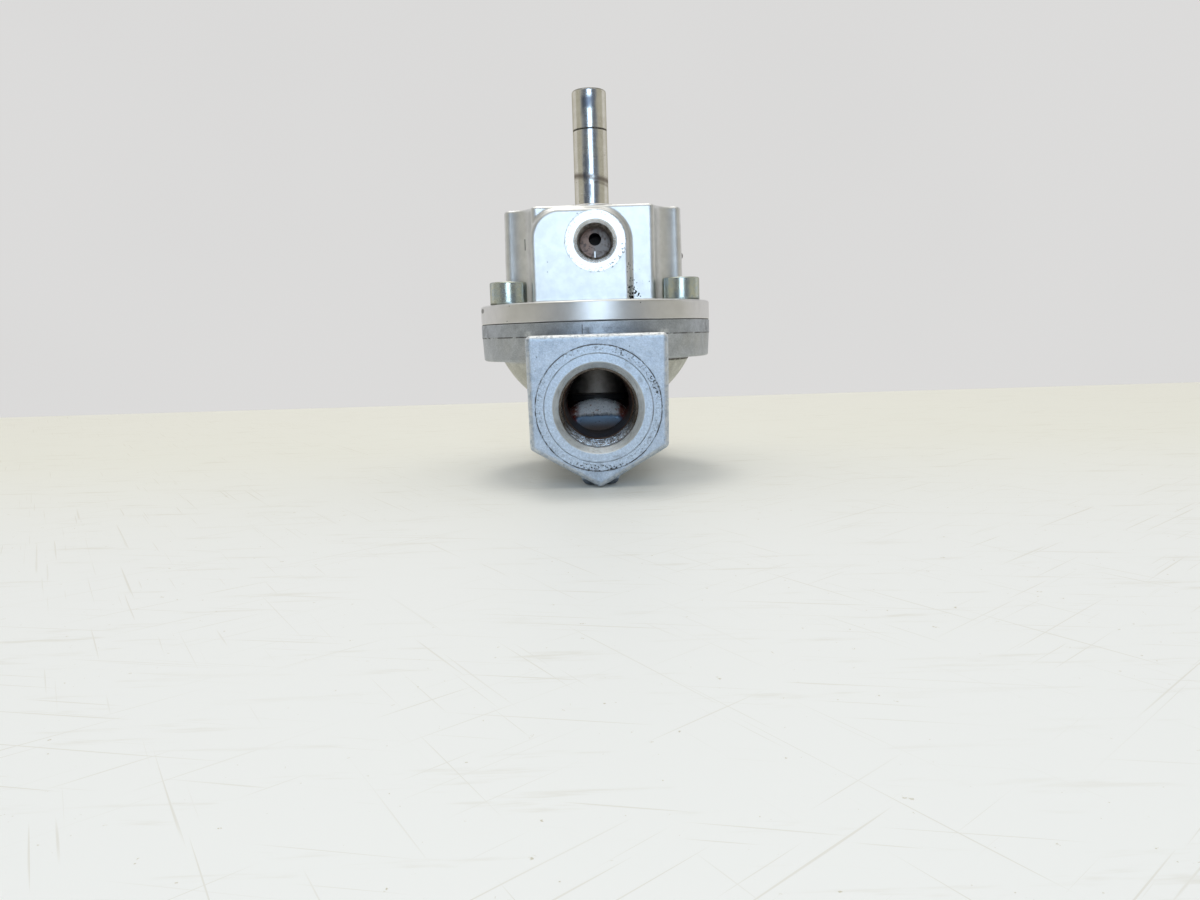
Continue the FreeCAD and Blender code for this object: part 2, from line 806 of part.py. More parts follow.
def make_piston_seal():
    outer_r = guide_bore_r - ring_relief
    return ring(outer_r, piston_seal_inner_r, piston_seal_z, piston_seal_z + piston_seal_h)


def make_piston_guide_ring():
    outer_r = guide_bore_r - ring_relief
    return ring(outer_r, guide_ring_inner_r, guide_ring_z, guide_ring_z + guide_ring_h)


def make_seat_disc():
    return ring(disc_r, poppet_screw_r + poppet_screw_play, seat_z, piston_low_z)


def make_seat_retainer():
    return ring(retainer_r, poppet_screw_r + poppet_screw_play, seat_z - retainer_h, seat_z)


def make_poppet_screw():
    head_z = seat_z - retainer_h
    head_low_z = head_z - poppet_screw_head_h
    head = cyl(poppet_screw_head_r, head_low_z, head_z)
    head = head.makeFillet(poppet_screw_edge_r, at_height(head, head_low_z))
    shank = cyl(poppet_screw_r, head_z - poppet_screw_head_h / 2.0, piston_low_z + poppet_screw_reach)
    corner = V(-poppet_screw_head_r - OVER, -poppet_screw_slot, head_low_z - poppet_screw_slot)
    slot_length = 2.0 * (poppet_screw_head_r + OVER)
    slot = Part.makeBox(slot_length, 2.0 * poppet_screw_slot, 2.0 * poppet_screw_slot, corner)
    return head.fuse(shank).cut(slot)


def make_return_spring():
    return coil(return_mid_r, return_wire_r, piston_spring_floor_z + spring_end_gap,
                guide_roof_z - spring_end_gap, return_turns)


nodes = {
    "valve_body": make_valve_body,
    "seat_ring": make_seat_ring,
    "bonnet": make_bonnet,
    "bonnet_screws": make_bonnet_screws,
    "bonnet_oring": make_bonnet_oring,
    "passage_plug": make_passage_plug,
    "pilot_nozzle": make_pilot_nozzle,
    "armature_tube": make_armature_tube,
    "tube_oring": make_tube_oring,
    "tube_bush": make_tube_bush,
    "pole_piece": make_pole_piece,
    "shading_ring": make_shading_ring,
    "plunger": make_plunger,
    "plunger_seal": make_plunger_seal,
    "plunger_spring": make_plunger_spring,
    "piston": make_piston,
    "piston_seal": make_piston_seal,
    "piston_guide_ring": make_piston_guide_ring,
    "seat_disc": make_seat_disc,
    "seat_retainer": make_seat_retainer,
    "poppet_screw": make_poppet_screw,
    "return_spring": make_return_spring,
}

os.makedirs("parts", exist_ok=True)
for name, make in nodes.items():
    shape = make()
    print(name, "valid" if shape.isValid() else "not valid", len(shape.Solids), round(shape.Volume, 1))
    shape.exportStep("parts/" + name + ".step")
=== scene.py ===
"""Looks for the solenoid poppet valve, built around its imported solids.

The frame is the part's own, in metres. Materials work in millimetres of that frame: Z is up,
the flow axis runs along Y, and the port with the inner wall faces -Y.
"""
import math

import bmesh
import bpy
from mathutils import Matrix, Vector


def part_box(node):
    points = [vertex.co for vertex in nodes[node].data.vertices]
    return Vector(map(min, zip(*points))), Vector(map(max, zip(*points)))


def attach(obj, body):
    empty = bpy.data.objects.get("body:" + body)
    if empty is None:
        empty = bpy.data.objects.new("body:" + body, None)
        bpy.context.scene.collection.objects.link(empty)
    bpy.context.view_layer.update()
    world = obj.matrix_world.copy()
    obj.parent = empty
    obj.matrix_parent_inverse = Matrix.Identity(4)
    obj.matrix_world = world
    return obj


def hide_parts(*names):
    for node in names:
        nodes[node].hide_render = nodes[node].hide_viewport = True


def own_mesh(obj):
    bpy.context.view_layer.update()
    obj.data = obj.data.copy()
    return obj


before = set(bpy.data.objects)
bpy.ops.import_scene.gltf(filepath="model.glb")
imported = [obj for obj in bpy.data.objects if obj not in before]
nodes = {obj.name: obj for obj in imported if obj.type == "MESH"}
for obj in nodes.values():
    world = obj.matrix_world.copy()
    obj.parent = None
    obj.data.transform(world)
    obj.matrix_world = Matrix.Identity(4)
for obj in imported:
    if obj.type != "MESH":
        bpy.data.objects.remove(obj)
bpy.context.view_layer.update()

MM = 0.001

# Places on the body, in millimetres
PORT_Z = 19.92
PORT_SPOT_R = 15.6
PORT_SCRIBE_R = 13.5
PORT_MOUTH_R = 11.4
PORT_CREST_R = 9.32
THREAD_OUTER_R = 11.0
THREAD_START_Y = 37.7
THREAD_END_Y = 25.9
PASSAGE_R = 10.2
PASSAGE_TOP_Z = 33.0
BLOCK_FACE_Y = 40.0
BLOCK_EDGE_R = 1.4
BLOCK_TOP_Z = 38.05
BLOCK_TOP_X = 17.55
BLOCK_SIDE_X = 17.25
BLOCK_SIDE_Z = 9.96
BLOCK_FLANK_X = 17.4
TOP_LINE_Y = -37.0
BLUE_REFLECTION_X = 18.2
BLUE_REFLECTION_START_Y = -30.0
BLUE_REFLECTION_END_Y = -36.0
BAND_LOW_Z = 37.75
BAND_R = 32.5
BAND_END_X = 31.5
BAND_FRONT_Y = -20.0
FLANGE_LOW_Z = 31.3
JOINT_Z = 41.35
SEAM_HALF = 0.16
SEAM_R = 31.5
CHAMBER_R = 16.5
CHAMBER_FLOOR_Z = 17.8
ARCH_Z = 8.92
ARCH_R = 11.3
ARCH_FACE_Y = -13.5
WALL_R = 10.0
WALL_BACK_Y = -5.0
WALL_FOOT_Z = 12.0
WALL_BLUE_Z = 15.8
NOSE_LOW_Z = 16.2
NOSE_HIGH_Z = 17.6
NOSE_CURVE = 0.010
NOSE_RAGGED = 1.6
RIB_END_Y = 36.1

# Where marks on the body start and end: angles about the port, then places in millimetres
DIRTY_RIGHT = (0.30, 1.15)
DIRTY_LOW = (-1.85, -1.25)
STAIN_X = (-3.0, 5.0)
STAIN_Z = (38.3, 39.4)
DRIP_X = -3.5
DRIP_Z = (38.4, 40.3)
NOSE_END_X = (4.5, 6.5)
WALL_RUST_X = (6.6, 9.0)
WALL_RUST_Y = (-17.0, -9.0)
WALL_RUST_Z = (12.5, 18.5)

# Places on the bonnet, the tube and the screws, in millimetres, with the sockets' heights above the plate
PLATE_TOP_Z = 46.55
RIM_R = 32.4
PILOT_X = 0.5
PILOT_Z = 62.7
PILOT_FACE_Y = -15.85
PILOT_SPOT_R = 8.1
PILOT_MOUTH_R = 5.85
PILOT_BORE_R = 5.0
PILOT_LEAD_Y = -14.7
PILOT_END_Y = -8.0
PILOT_DRILL_Y = 4.0
TUBE_JOINT_Z = 94.25
TUBE_TOP_Z = 105.0
SCREW_X = 23.38
SCREW_Y = 13.5
SOCKET_R = 2.9
SOCKET_LOW = 2.5
SOCKET_HIGH = 5.6

# Where marks on the bonnet and the tube start and end, in millimetres
PIT_ZONE_X = 9.2
PIT_ZONE_END_X = 14.6
PIT_ZONE_Y = -11.0
PIT_ZONE_Z = 60.0
PIT_DENSE_Z = 54.0
NICK_X = -18.75
NICK_Z = (61.5, 64.3)
CHIP_LEFT = 31.2
CHIP_Z = 45.2
TUBE_BLUE_SHEEN_X = (-1.9, 1.7)
TUBE_BAND_Z = 81.2
TUBE_TAIL_Z = 80.5
TOP_SMUDGE_X = (-1.6, 0.9)
TOP_SMUDGE_Z = (98.6, 102.0)
LOW_SMUDGE_X = (-1.9, -0.7)
LOW_SMUDGE_Z = (81.0, 88.0)
FOOT_SMUDGE_X = (-1.8, -0.3)
FOOT_SMUDGE_Z = (73.5, 79.0)

# Coil springs, in metres
RETURN_WIRE_R = 0.0006
RETURN_TURNS = 9.0
PLUNGER_WIRE_R = 0.00022
PLUNGER_TURNS = 11.0
SPRING_GROUND = 0.4
SPRING_STEPS = 32
SPRING_SIDES = 12

# Camera, fitted to the photograph: metres, radians, and pixels of the photograph
CAMERA_PLACE = Vector((-0.00113, -0.25064, 0.03773))
CAMERA_PITCH = 0.1328
CAMERA_ROLL = -0.0292
CAMERA_YAW = 0.0055
IMAGE_WIDTH = 1200.0
FOCAL_PIXELS = 860.0
SENSOR_WIDTH = 36.0
CLIP_NEAR = 0.01
CLIP_FAR = 20.0

# Stage: its sizes in metres, then its colours, with the floor's zone of painted warm light in millimetres
STAGE_HALF = 1.6
WALL_Y = 0.254
WALL_HEIGHT = 1.0
WALL_GLOW = (0.715, 0.71, 0.705, 1.0)
WALL_CLOUD = 0.985
FLOOR_COLOR = (0.88, 0.885, 0.88, 1.0)
FLOOR_FAR_LIGHT = (0.85, 0.845, 0.77, 1.0)
FLOOR_FAR_LIGHT_START_Y = -130.0
FLOOR_FAR_LIGHT_END_Y = 60.0
FLOOR_MARK = (0.55, 0.50, 0.38, 1.0)
FLOOR_SCRATCH_ANGLES = (0.2, 1.0, -0.7)

# Light, with places in metres
KEY_COLOR = (0.63, 0.81, 1.0)
KEY_POWER = 1.65
KEY_PLACE = Vector((0.02, -0.72, 0.27))
KEY_SIZE = (0.32, 0.46)
TOP_COLOR = (1.0, 0.985, 0.95)
TOP_POWER = 2.1
TOP_PLACE = Vector((0.0, 0.02, 0.85))
TOP_SIZE = (0.9, 0.9)
BACK_COLOR = (1.0, 0.97, 0.90)
BACK_STRENGTH = 0.65
BACK_PLACE = Vector((-0.05, 0.42, 0.96))
BACK_WIDTH = 0.30
AIM = Vector((0.0, 0.0, 0.05))
ROOM_COLOR = (0.455, 0.445, 0.39, 1.0)

# Curtain: its place and height in metres, and where its shade starts to fade and ends in millimetres
CURTAIN_Y = -0.85
CURTAIN_HEIGHT = 1.2
CURTAIN_COLOR = (0.14, 0.155, 0.18, 1.0)
CURTAIN_FADE_R = 500.0
CURTAIN_END_R = 1500.0

# Colours of the body
CAST_DARK = (0.40, 0.42, 0.445, 1.0)
CAST_LIGHT = (0.52, 0.545, 0.575, 1.0)
CAST_CLOUD = (0.42, 0.415, 0.39, 1.0)
BLUE_REFLECTION_DARK = (0.40, 0.475, 0.58, 1.0)
BLUE_REFLECTION_LIGHT = (0.50, 0.575, 0.68, 1.0)
BOWL_BOUNCE_DARK = (0.48, 0.465, 0.38, 1.0)
BOWL_BOUNCE_LIGHT = (0.64, 0.62, 0.53, 1.0)
CUT_DARK = (0.41, 0.465, 0.54, 1.0)
CUT_LIGHT = (0.51, 0.57, 0.645, 1.0)
BAND_DARK = (0.35, 0.375, 0.41, 1.0)
BAND_LIGHT = (0.44, 0.47, 0.51, 1.0)
CHAMFER_DARK = (0.70, 0.75, 0.80, 1.0)
CHAMFER_LIGHT = (0.84, 0.88, 0.92, 1.0)
CHAMFER_SCUFF = (0.36, 0.35, 0.34, 1.0)
CHAMFER_LIP_HIGHLIGHT = (0.90, 0.93, 0.96, 1.0)
RUBBED_EDGE = (0.74, 0.77, 0.80, 1.0)
TOP_EDGE = (0.90, 0.92, 0.94, 1.0)
THREAD_SHADED_OIL_DARK = (0.085, 0.072, 0.062, 1.0)
THREAD_SHADED_OIL_LIGHT = (0.16, 0.145, 0.13, 1.0)
THREAD_ROOT = (0.20, 0.215, 0.23, 1.0)
THREAD_CREST = (0.76, 0.83, 0.92, 1.0)
THREAD_RUB = (0.17, 0.145, 0.13, 1.0)
PASSAGE_DARK = (0.080, 0.045, 0.030, 1.0)
PASSAGE_LIGHT = (0.14, 0.085, 0.060, 1.0)
WALL_BOTTOM_SHADE = (0.055, 0.042, 0.036, 1.0)
WALL_BLUE = (0.085, 0.125, 0.175, 1.0)
NOSE_GRAY = (0.70, 0.69, 0.70, 1.0)
NOSE_RUST = (0.42, 0.21, 0.10, 1.0)
NOSE_RED = (0.30, 0.09, 0.05, 1.0)
DIRT_AND_SHADE = (0.055, 0.042, 0.030, 1.0)
SOOT_AND_SHADE = (0.022, 0.020, 0.019, 1.0)
RUST = (0.17, 0.035, 0.018, 1.0)

# Colours of the bonnet, the tube and the screws
BONNET_DARK = (0.685, 0.69, 0.69, 1.0)
BONNET_LIGHT = (0.77, 0.775, 0.775, 1.0)
BONNET_CLOUD = (0.64, 0.63, 0.60, 1.0)
PILOT_OIL_DARK = (0.075, 0.065, 0.055, 1.0)
PILOT_OIL_LIGHT = (0.21, 0.185, 0.165, 1.0)
PILOT_END_GRAY = (0.17, 0.15, 0.14, 1.0)
PILOT_END_BROWN = (0.20, 0.135, 0.11, 1.0)
PILOT_END_STAIN = (0.10, 0.075, 0.065, 1.0)
TUBE_TINT = (0.62, 0.60, 0.53, 1.0)
TUBE_DARK = (0.74, 0.715, 0.64, 1.0)
TUBE_LIGHT = (0.82, 0.80, 0.73, 1.0)
TUBE_BLUE_SHEEN = (0.50, 0.56, 0.68, 1.0)
TUBE_BAND = (0.11, 0.075, 0.06, 1.0)
TUBE_SMUDGE = (0.07, 0.09, 0.14, 1.0)
ZINC_TINT = (0.60, 0.60, 0.56, 1.0)
ZINC_GREEN = (0.54, 0.595, 0.57, 1.0)
ZINC_YELLOW = (0.64, 0.66, 0.56, 1.0)
ZINC_BLUE = (0.45, 0.55, 0.64, 1.0)
ZINC_DIRT_AND_SHADE = (0.05, 0.048, 0.042, 1.0)

# Colours of the inner pieces
PISTON_LIGHT = (0.31, 0.285, 0.26, 1.0)
PISTON_DARK = (0.20, 0.18, 0.16, 1.0)
BRASS_LIGHT = (0.72, 0.50, 0.20, 1.0)
BRASS_DARK = (0.56, 0.37, 0.14, 1.0)
COPPER_LIGHT = (0.80, 0.42, 0.26, 1.0)
COPPER_DARK = (0.60, 0.29, 0.17, 1.0)
RED_LIGHT = (0.30, 0.045, 0.03, 1.0)
RED_DARK = (0.20, 0.03, 0.02, 1.0)
GUIDE_LIGHT = (0.62, 0.58, 0.48, 1.0)
GUIDE_DARK = (0.52, 0.47, 0.37, 1.0)
SPECK_SHADE = 0.15


class Look:
    """One material, built node by node, with lengths in millimetres."""

    def __init__(self, name, **uniform):
        self.material = bpy.data.materials.new(name)
        self.material.use_nodes = True
        self.tree = self.material.node_tree
        self.shader = self.tree.nodes["Principled BSDF"]
        for socket, value in uniform.items():
            self.shader.inputs[socket.replace("_", " ")].default_value = value

    def node(self, kind, sockets, **settings):
        made = self.tree.nodes.new(kind)
        for name, value in settings.items():
            setattr(made, name, value)
        for socket, value in sockets.items():
            if isinstance(value, bpy.types.NodeSocket):
                self.tree.links.new(value, made.inputs[socket])
            else:
                made.inputs[socket].default_value = value
        return made

    def math(self, operation, first, second=0.0):
        return self.node("ShaderNodeMath", {0: first, 1: second}, operation=operation).outputs[0]

    def add(self, first, second):
        return self.math("ADD", first, second)

    def less(self, first, second):
        return self.math("SUBTRACT", first, second)

    def size(self, value):
        return self.math("ABSOLUTE", value)

    def inverse(self, value):
        return self.math("SUBTRACT", 1.0, value)

    def times(self, *values):
        product = values[0]
        for value in values[1:]:
            product = self.math("MULTIPLY", product, value)
        return product

    def most(self, *values):
        highest = values[0]
        for value in values[1:]:
            highest = self.math("MAXIMUM", highest, value)
        return highest

    def place(self):
        """Place on the part in millimetres."""
        metres = self.node("ShaderNodeTexCoord", {}).outputs["Object"]
        scaled = {0: metres, "Scale": 1.0 / MM}
        return self.node("ShaderNodeVectorMath", scaled, operation="SCALE").outputs[0]

    def axes(self, place):
        split = self.node("ShaderNodeSeparateXYZ", {0: place})
        return split.outputs[0], split.outputs[1], split.outputs[2]

    def reach(self, first, second):
        """Distance from zero in two directions at once."""
        return self.math("SQRT", self.add(self.times(first, first), self.times(second, second)))

    def ramp(self, value, low, high):
        """Smooth step from 0 at low to 1 at high. Low may be the larger one."""
        sockets = {"Value": value, "From Min": low, "From Max": high}
        if low > high:
            sockets = {"Value": value, "From Min": high, "From Max": low, "To Min": 1.0, "To Max": 0.0}
        return self.node("ShaderNodeMapRange", sockets, interpolation_type="SMOOTHSTEP").outputs[0]

    def disc(self, value, edge, soft):
        """1 below an edge and 0 above it."""
        return self.ramp(value, edge + soft, edge - soft)

    def between(self, value, low, high, soft):
        """1 from low to high, and 0 further away than the soft edge is wide."""
        return self.times(self.ramp(value, low - soft, low), self.ramp(value, high + soft, high))

    def line(self, value, centre, half):
        """1 on a line across a value, and 0 at half its width away."""
        return self.ramp(self.size(self.less(value, centre)), half, 0.0)

    def noise(self, place, size, detail=3.0, rough=0.55, twist=0.0):
        sockets = {"Vector": place, "Scale": 1.0 / size, "Detail": detail, "Roughness": rough,
                   "Distortion": twist}
        return self.node("ShaderNodeTexNoise", sockets).outputs["Fac"]

    def patches(self, place, size, low, high, detail=4.0, rough=0.65, twist=0.0):
        """Ragged patches: 0 where the noise is below low and 1 above high."""
        return self.ramp(self.noise(place, size, detail, rough, twist), low, high)

    def cells(self, place, size):
        sockets = {"Vector": place, "Scale": 1.0 / size}
        return self.node("ShaderNodeTexVoronoi", sockets).outputs["Distance"]

    def stretched(self, place, x, y, z):
        return self.node("ShaderNodeVectorMath", {0: place, 1: (x, y, z)}, operation="MULTIPLY").outputs[0]

    def around(self, place, z_scale):
        """Angle about Z as a place, so that marks run round the part."""
        x, y, z = self.axes(place)
        turned = {0: self.reach(x, y), 1: self.times(z, z_scale), 2: self.math("ARCTAN2", y, x)}
        return self.node("ShaderNodeCombineXYZ", turned).outputs[0]

    def mix(self, factor, first, second):
        """Blend of two colours."""
        return self.node("ShaderNodeMix", {0: factor, 6: first, 7: second}, data_type="RGBA").outputs[2]

    def tone(self, value, low, high, first, second):
        """Colour that goes from the first to the second as a value goes from low to high."""
        return self.mix(self.ramp(value, low, high), first, second)

    def blend(self, factor, first, second):
        """Blend of two numbers."""
        return self.node("ShaderNodeMix", {0: factor, 2: first, 3: second}, data_type="FLOAT").outputs[0]

    def grade(self, color, factor):
        """Colour made lighter or darker by a factor."""
        return self.node("ShaderNodeVectorMath", {0: color, "Scale": factor}, operation="SCALE").outputs[0]

    def rounded(self, radius):
        """Normal with the sharp edges rounded to a radius."""
        return self.node("ShaderNodeBevel", {"Radius": radius * MM}, samples=4).outputs[0]

    def edges(self, rounded):
        """1 where a rounded normal leaves the true one, on sharp edges, and 0 on flat faces."""
        flat = self.node("ShaderNodeNewGeometry", {}).outputs["Normal"]
        both = {0: rounded, 1: flat}
        same = self.node("ShaderNodeVectorMath", both, operation="DOT_PRODUCT").outputs["Value"]
        return self.ramp(same, 0.998, 0.90)

    def bump(self, height, depth, normal, strength=1.0):
        sockets = {"Strength": strength, "Distance": depth * MM, "Height": height, "Normal": normal}
        return self.node("ShaderNodeBump", sockets).outputs[0]

    def wire(self, **sockets):
        for socket, value in sockets.items():
            self.tree.links.new(value, self.shader.inputs[socket.replace("_", " ")])
        return self.material


def gray(value, warm=0.0):
    return (value * (1.0 + warm), value, value * (1.0 - warm), 1.0)


# Shader settings of a surface that only glows
GLOW = {"Metallic": 0.0, "Roughness": 1.0, "Base_Color": gray(0.0), "Specular_IOR_Level": 0.0,
        "Emission_Strength": 1.0}


def make_body_casting():
    """Die-cast aluminium, blue-grey and grainy, worn bright on its edges and dirty in its lines, with
    painted light and shade in places.
    """
    look = Look("body_casting", Metallic=1.0)
    place = look.place()
    x, y, z = look.axes(place)
    side = look.size(x)
    along = look.size(y)
    rise = look.less(z, PORT_Z)
    port_r = look.reach(x, rise)
    axis_r = look.reach(x, y)
    clock = look.math("ARCTAN2", rise, x)

    # Where each surface is
    at_face = look.ramp(along, BLOCK_FACE_Y - 0.8, BLOCK_FACE_Y - 0.5)
    spot = look.times(at_face, look.disc(port_r, PORT_SPOT_R, 0.04))
    chamfer = look.times(look.ramp(along, THREAD_START_Y - 0.2, THREAD_START_Y),
                         look.disc(port_r, PORT_MOUTH_R, 0.05))
    band = look.times(look.ramp(axis_r, BAND_R - 0.09, BAND_R - 0.04),
                      look.ramp(z, BAND_LOW_Z - 0.05, BAND_LOW_Z))
    threads = look.times(look.between(along, THREAD_END_Y, THREAD_START_Y - 0.2, 0.2),
                         look.disc(port_r, THREAD_OUTER_R, 0.2))
    passage = look.times(look.ramp(along, THREAD_END_Y + 0.2, THREAD_END_Y),
                         look.disc(port_r, PASSAGE_R, 0.2),
                         look.ramp(z, JOINT_Z, PASSAGE_TOP_Z))
    chamber = look.times(look.disc(axis_r, CHAMBER_R + 0.1, 0.05),
                         look.ramp(z, CHAMBER_FLOOR_Z - 0.6, CHAMBER_FLOOR_Z - 0.2))
    arch_r = look.reach(x, look.less(z, ARCH_Z))
    at_wall = look.times(look.between(y, ARCH_FACE_Y - 0.4, WALL_BACK_Y, 0.1),
                         look.disc(arch_r, ARCH_R + 0.2, 0.1),
                         look.disc(port_r, WALL_R, 0.2))
    curved = look.add(z, look.times(x, x, NOSE_CURVE))
    ragged = look.add(curved, look.times(look.noise(place, 1.6, 4.0, 0.7), NOSE_RAGGED))
    nose = look.times(at_wall, look.ramp(ragged, NOSE_LOW_Z, NOSE_HIGH_Z))
    wall_face = look.times(at_wall, look.inverse(nose), look.ramp(y, ARCH_FACE_Y + 1.1, ARCH_FACE_Y + 0.3))
    inside = look.most(threads, passage, chamber, at_wall)

    # Grain and cloud of the casting, with a painted blue reflection on the front block and painted floor
    # bounce on the cast below the flange
    grain = look.noise(place, 0.30, 3.0, 0.7)
    speckle = look.noise(place, 0.75, 4.0, 0.75)
    mottle = look.noise(place, 3.2, 4.0, 0.6)
    cloud = look.noise(place, 11.0, 3.0, 0.5)
    cast = look.tone(mottle, 0.3, 0.72, CAST_DARK, CAST_LIGHT)
    cast = look.mix(look.times(look.ramp(cloud, 0.45, 0.7), 0.4), cast, CAST_CLOUD)
    # Painted reflection: the front block is tinted blue for the bluish light it reflects.
    blue_reflection = look.times(look.ramp(y, BLUE_REFLECTION_START_Y, BLUE_REFLECTION_END_Y), look.ramp(side, BLUE_REFLECTION_X, BLOCK_FLANK_X))
    cast = look.mix(look.times(blue_reflection, 0.8), cast, look.tone(mottle, 0.3, 0.72, BLUE_REFLECTION_DARK, BLUE_REFLECTION_LIGHT))
    # Painted light: the cast below the flange, beside the block, is tinted beige for light bounced up from
    # the floor.
    bowl_bounce = look.times(look.ramp(z, FLANGE_LOW_Z, FLANGE_LOW_Z - 1.0),
                      look.ramp(side, BLOCK_FLANK_X, BLOCK_FLANK_X + 1.0))
    cast = look.mix(look.times(bowl_bounce, 0.5), cast, look.tone(mottle, 0.3, 0.72, BOWL_BOUNCE_DARK, BOWL_BOUNCE_LIGHT))
    cut = look.tone(speckle, 0.35, 0.68, CUT_DARK, CUT_LIGHT)
    cut = look.mix(band, cut, look.tone(mottle, 0.35, 0.68, BAND_DARK, BAND_LIGHT))
    cut = look.mix(chamfer, cut, look.tone(mottle, 0.35, 0.68, CHAMFER_DARK, CHAMFER_LIGHT))
    scuff = look.patches(look.stretched(place, 1.0, 3.0, 0.4), 1.0, 0.50, 0.66, 4.0, 0.7)
    cut = look.mix(look.times(chamfer, scuff, 0.45), cut, CHAMFER_SCUFF)
    # Painted highlight: a bright ring on the outer edge of the chamfer.
    lip_highlight = look.times(chamfer, look.ramp(port_r, PORT_MOUTH_R - 0.3, PORT_MOUTH_R - 0.1))
    cut = look.mix(lip_highlight, cut, CHAMFER_LIP_HIGHLIGHT)
    color = look.mix(look.most(spot, chamfer, band), cast, cut)
    light_grain = look.times(look.ramp(grain, 0.3, 0.72), look.inverse(chamfer))
    color = look.grade(color, look.blend(light_grain, 0.86, 1.17))

    # Rounded edges of the block, rubbed bright in places
    front_edge = look.times(look.between(along, BLOCK_FACE_Y - BLOCK_EDGE_R, BLOCK_FACE_Y - 0.1, 0.15),
                            look.ramp(port_r, PORT_SPOT_R + 0.2, PORT_SPOT_R + 0.7))
    keel = look.ramp(look.reach(x, z), 1.7, 0.9)
    flank = look.ramp(look.reach(look.less(side, BLOCK_SIDE_X), look.less(z, BLOCK_SIDE_Z)), 1.3, 0.6)
    shoulder = look.ramp(look.reach(look.less(side, BLOCK_TOP_X), look.less(z, BLOCK_TOP_Z)), 1.5, 0.7)
    soft_normal = look.rounded(0.25)
    edge = look.most(front_edge, keel, flank, shoulder,
                     look.times(look.edges(soft_normal), look.inverse(inside)))
    rubbed = look.times(edge, look.patches(place, 1.1, 0.34, 0.58))
    top_line = look.times(look.line(z, BLOCK_TOP_Z - 0.35, 0.75),
                          look.ramp(y, TOP_LINE_Y, TOP_LINE_Y - 1.2),
                          look.ramp(side, BLOCK_TOP_X + 0.45, BLOCK_TOP_X - 0.55),
                          look.patches(place, 0.8, 0.34, 0.50))
    color = look.mix(look.times(rubbed, 0.55), color, RUBBED_EDGE)
    color = look.mix(top_line, color, TOP_EDGE)

    # Dirt and painted shade: grime in the ring about the spot face, in the line under the band, in pits and
    # on the band's front; painted shade under the flange, on the rib's front end and along the keel's
    # bottom
    at_ring = look.line(port_r, PORT_SPOT_R + 0.02, 0.22)
    at_scribe = look.line(port_r, PORT_SCRIBE_R, 0.15)
    in_ring = look.times(at_ring, look.patches(place, 2.2, 0.36, 0.54), 0.9)
    in_scribe = look.times(at_scribe, look.patches(place, 3.0, 0.30, 0.6), 0.55)
    ring_dirt = look.times(at_face, look.most(in_ring, in_scribe))
    dirty_side = look.most(look.between(clock, *DIRTY_RIGHT, 0.25), look.between(clock, *DIRTY_LOW, 0.25))
    ring_specks = look.times(at_face, look.between(port_r, PORT_SPOT_R - 1.3, PORT_SPOT_R, 0.4),
                             look.blend(dirty_side, 0.35, 1.0),
                             look.patches(place, 0.55, 0.555, 0.62, 3.0, 0.7))
    blotch = look.times(at_face, look.between(port_r, PORT_SCRIBE_R - 1.0, PORT_SPOT_R, 1.0), dirty_side,
                        look.patches(place, 1.5, 0.50, 0.66, 4.0, 0.7))
    under_band = look.times(look.line(z, BAND_LOW_Z - 0.05, 0.28),
                            look.between(axis_r, BAND_R - 0.5, BAND_R + 0.7, 1.0),
                            look.patches(place, 2.0, 0.36, 0.52))
    pits = look.times(look.ramp(look.cells(place, 1.1), 0.16, 0.06),
                      look.patches(place, 2.4, 0.56, 0.66, 2.0))
    pits = look.times(pits, look.inverse(look.most(spot, chamfer, band, inside)))
    band_front = look.ramp(y, BAND_FRONT_Y, BAND_FRONT_Y - 5.0)
    stain = look.times(look.between(x, *STAIN_X, 1.5), look.between(z, *STAIN_Z, 0.8), band_front,
                       look.patches(place, 2.2, 0.40, 0.62))
    drip = look.times(look.line(x, DRIP_X, 0.25), look.between(z, *DRIP_Z, 0.6), band_front)
    # Painted shadow: a dark line under the flange on its right side.
    under_flange_shadow = look.times(look.line(z, FLANGE_LOW_Z - 0.6, 0.45),
                              look.ramp(x, BLOCK_FLANK_X + 0.5, BLOCK_FLANK_X + 1.4),
                              look.patches(place, 1.6, 0.34, 0.5))
    seam = look.times(look.line(z, JOINT_Z, SEAM_HALF), look.ramp(axis_r, SEAM_R - 1.0, SEAM_R))
    band_end = look.times(band, look.ramp(side, BAND_END_X - 4.0, BAND_END_X),
                          look.patches(place, 1.8, 0.40, 0.62))
    # Painted shade in ragged patches along the lowest millimetre of the keel, by the floor.
    foot_shade = look.times(look.ramp(z, 1.2, 0.2), look.patches(place, 1.2, 0.45, 0.6))
    # Painted shade, with grime, on the front end of the rib under the block.
    rib_shade_and_dirt = look.times(look.ramp(along, RIB_END_Y + 0.2, RIB_END_Y),
                          look.ramp(along, RIB_END_Y - 3.1, RIB_END_Y - 2.5),
                          look.ramp(side, 1.2, 1.6), look.ramp(z, 2.0, 1.5))
    dirt_and_shade = look.most(ring_dirt, ring_specks, look.times(under_band, 0.8), look.times(pits, 0.8),
                     look.times(stain, 0.35), look.times(drip, 0.6), seam, look.times(band_end, 0.4),
                     look.times(foot_shade, 0.6), look.times(rib_shade_and_dirt, 0.5), look.times(under_flange_shadow, 0.9),
                     look.times(blotch, 0.25))
    color = look.mix(dirt_and_shade, color, DIRT_AND_SHADE)

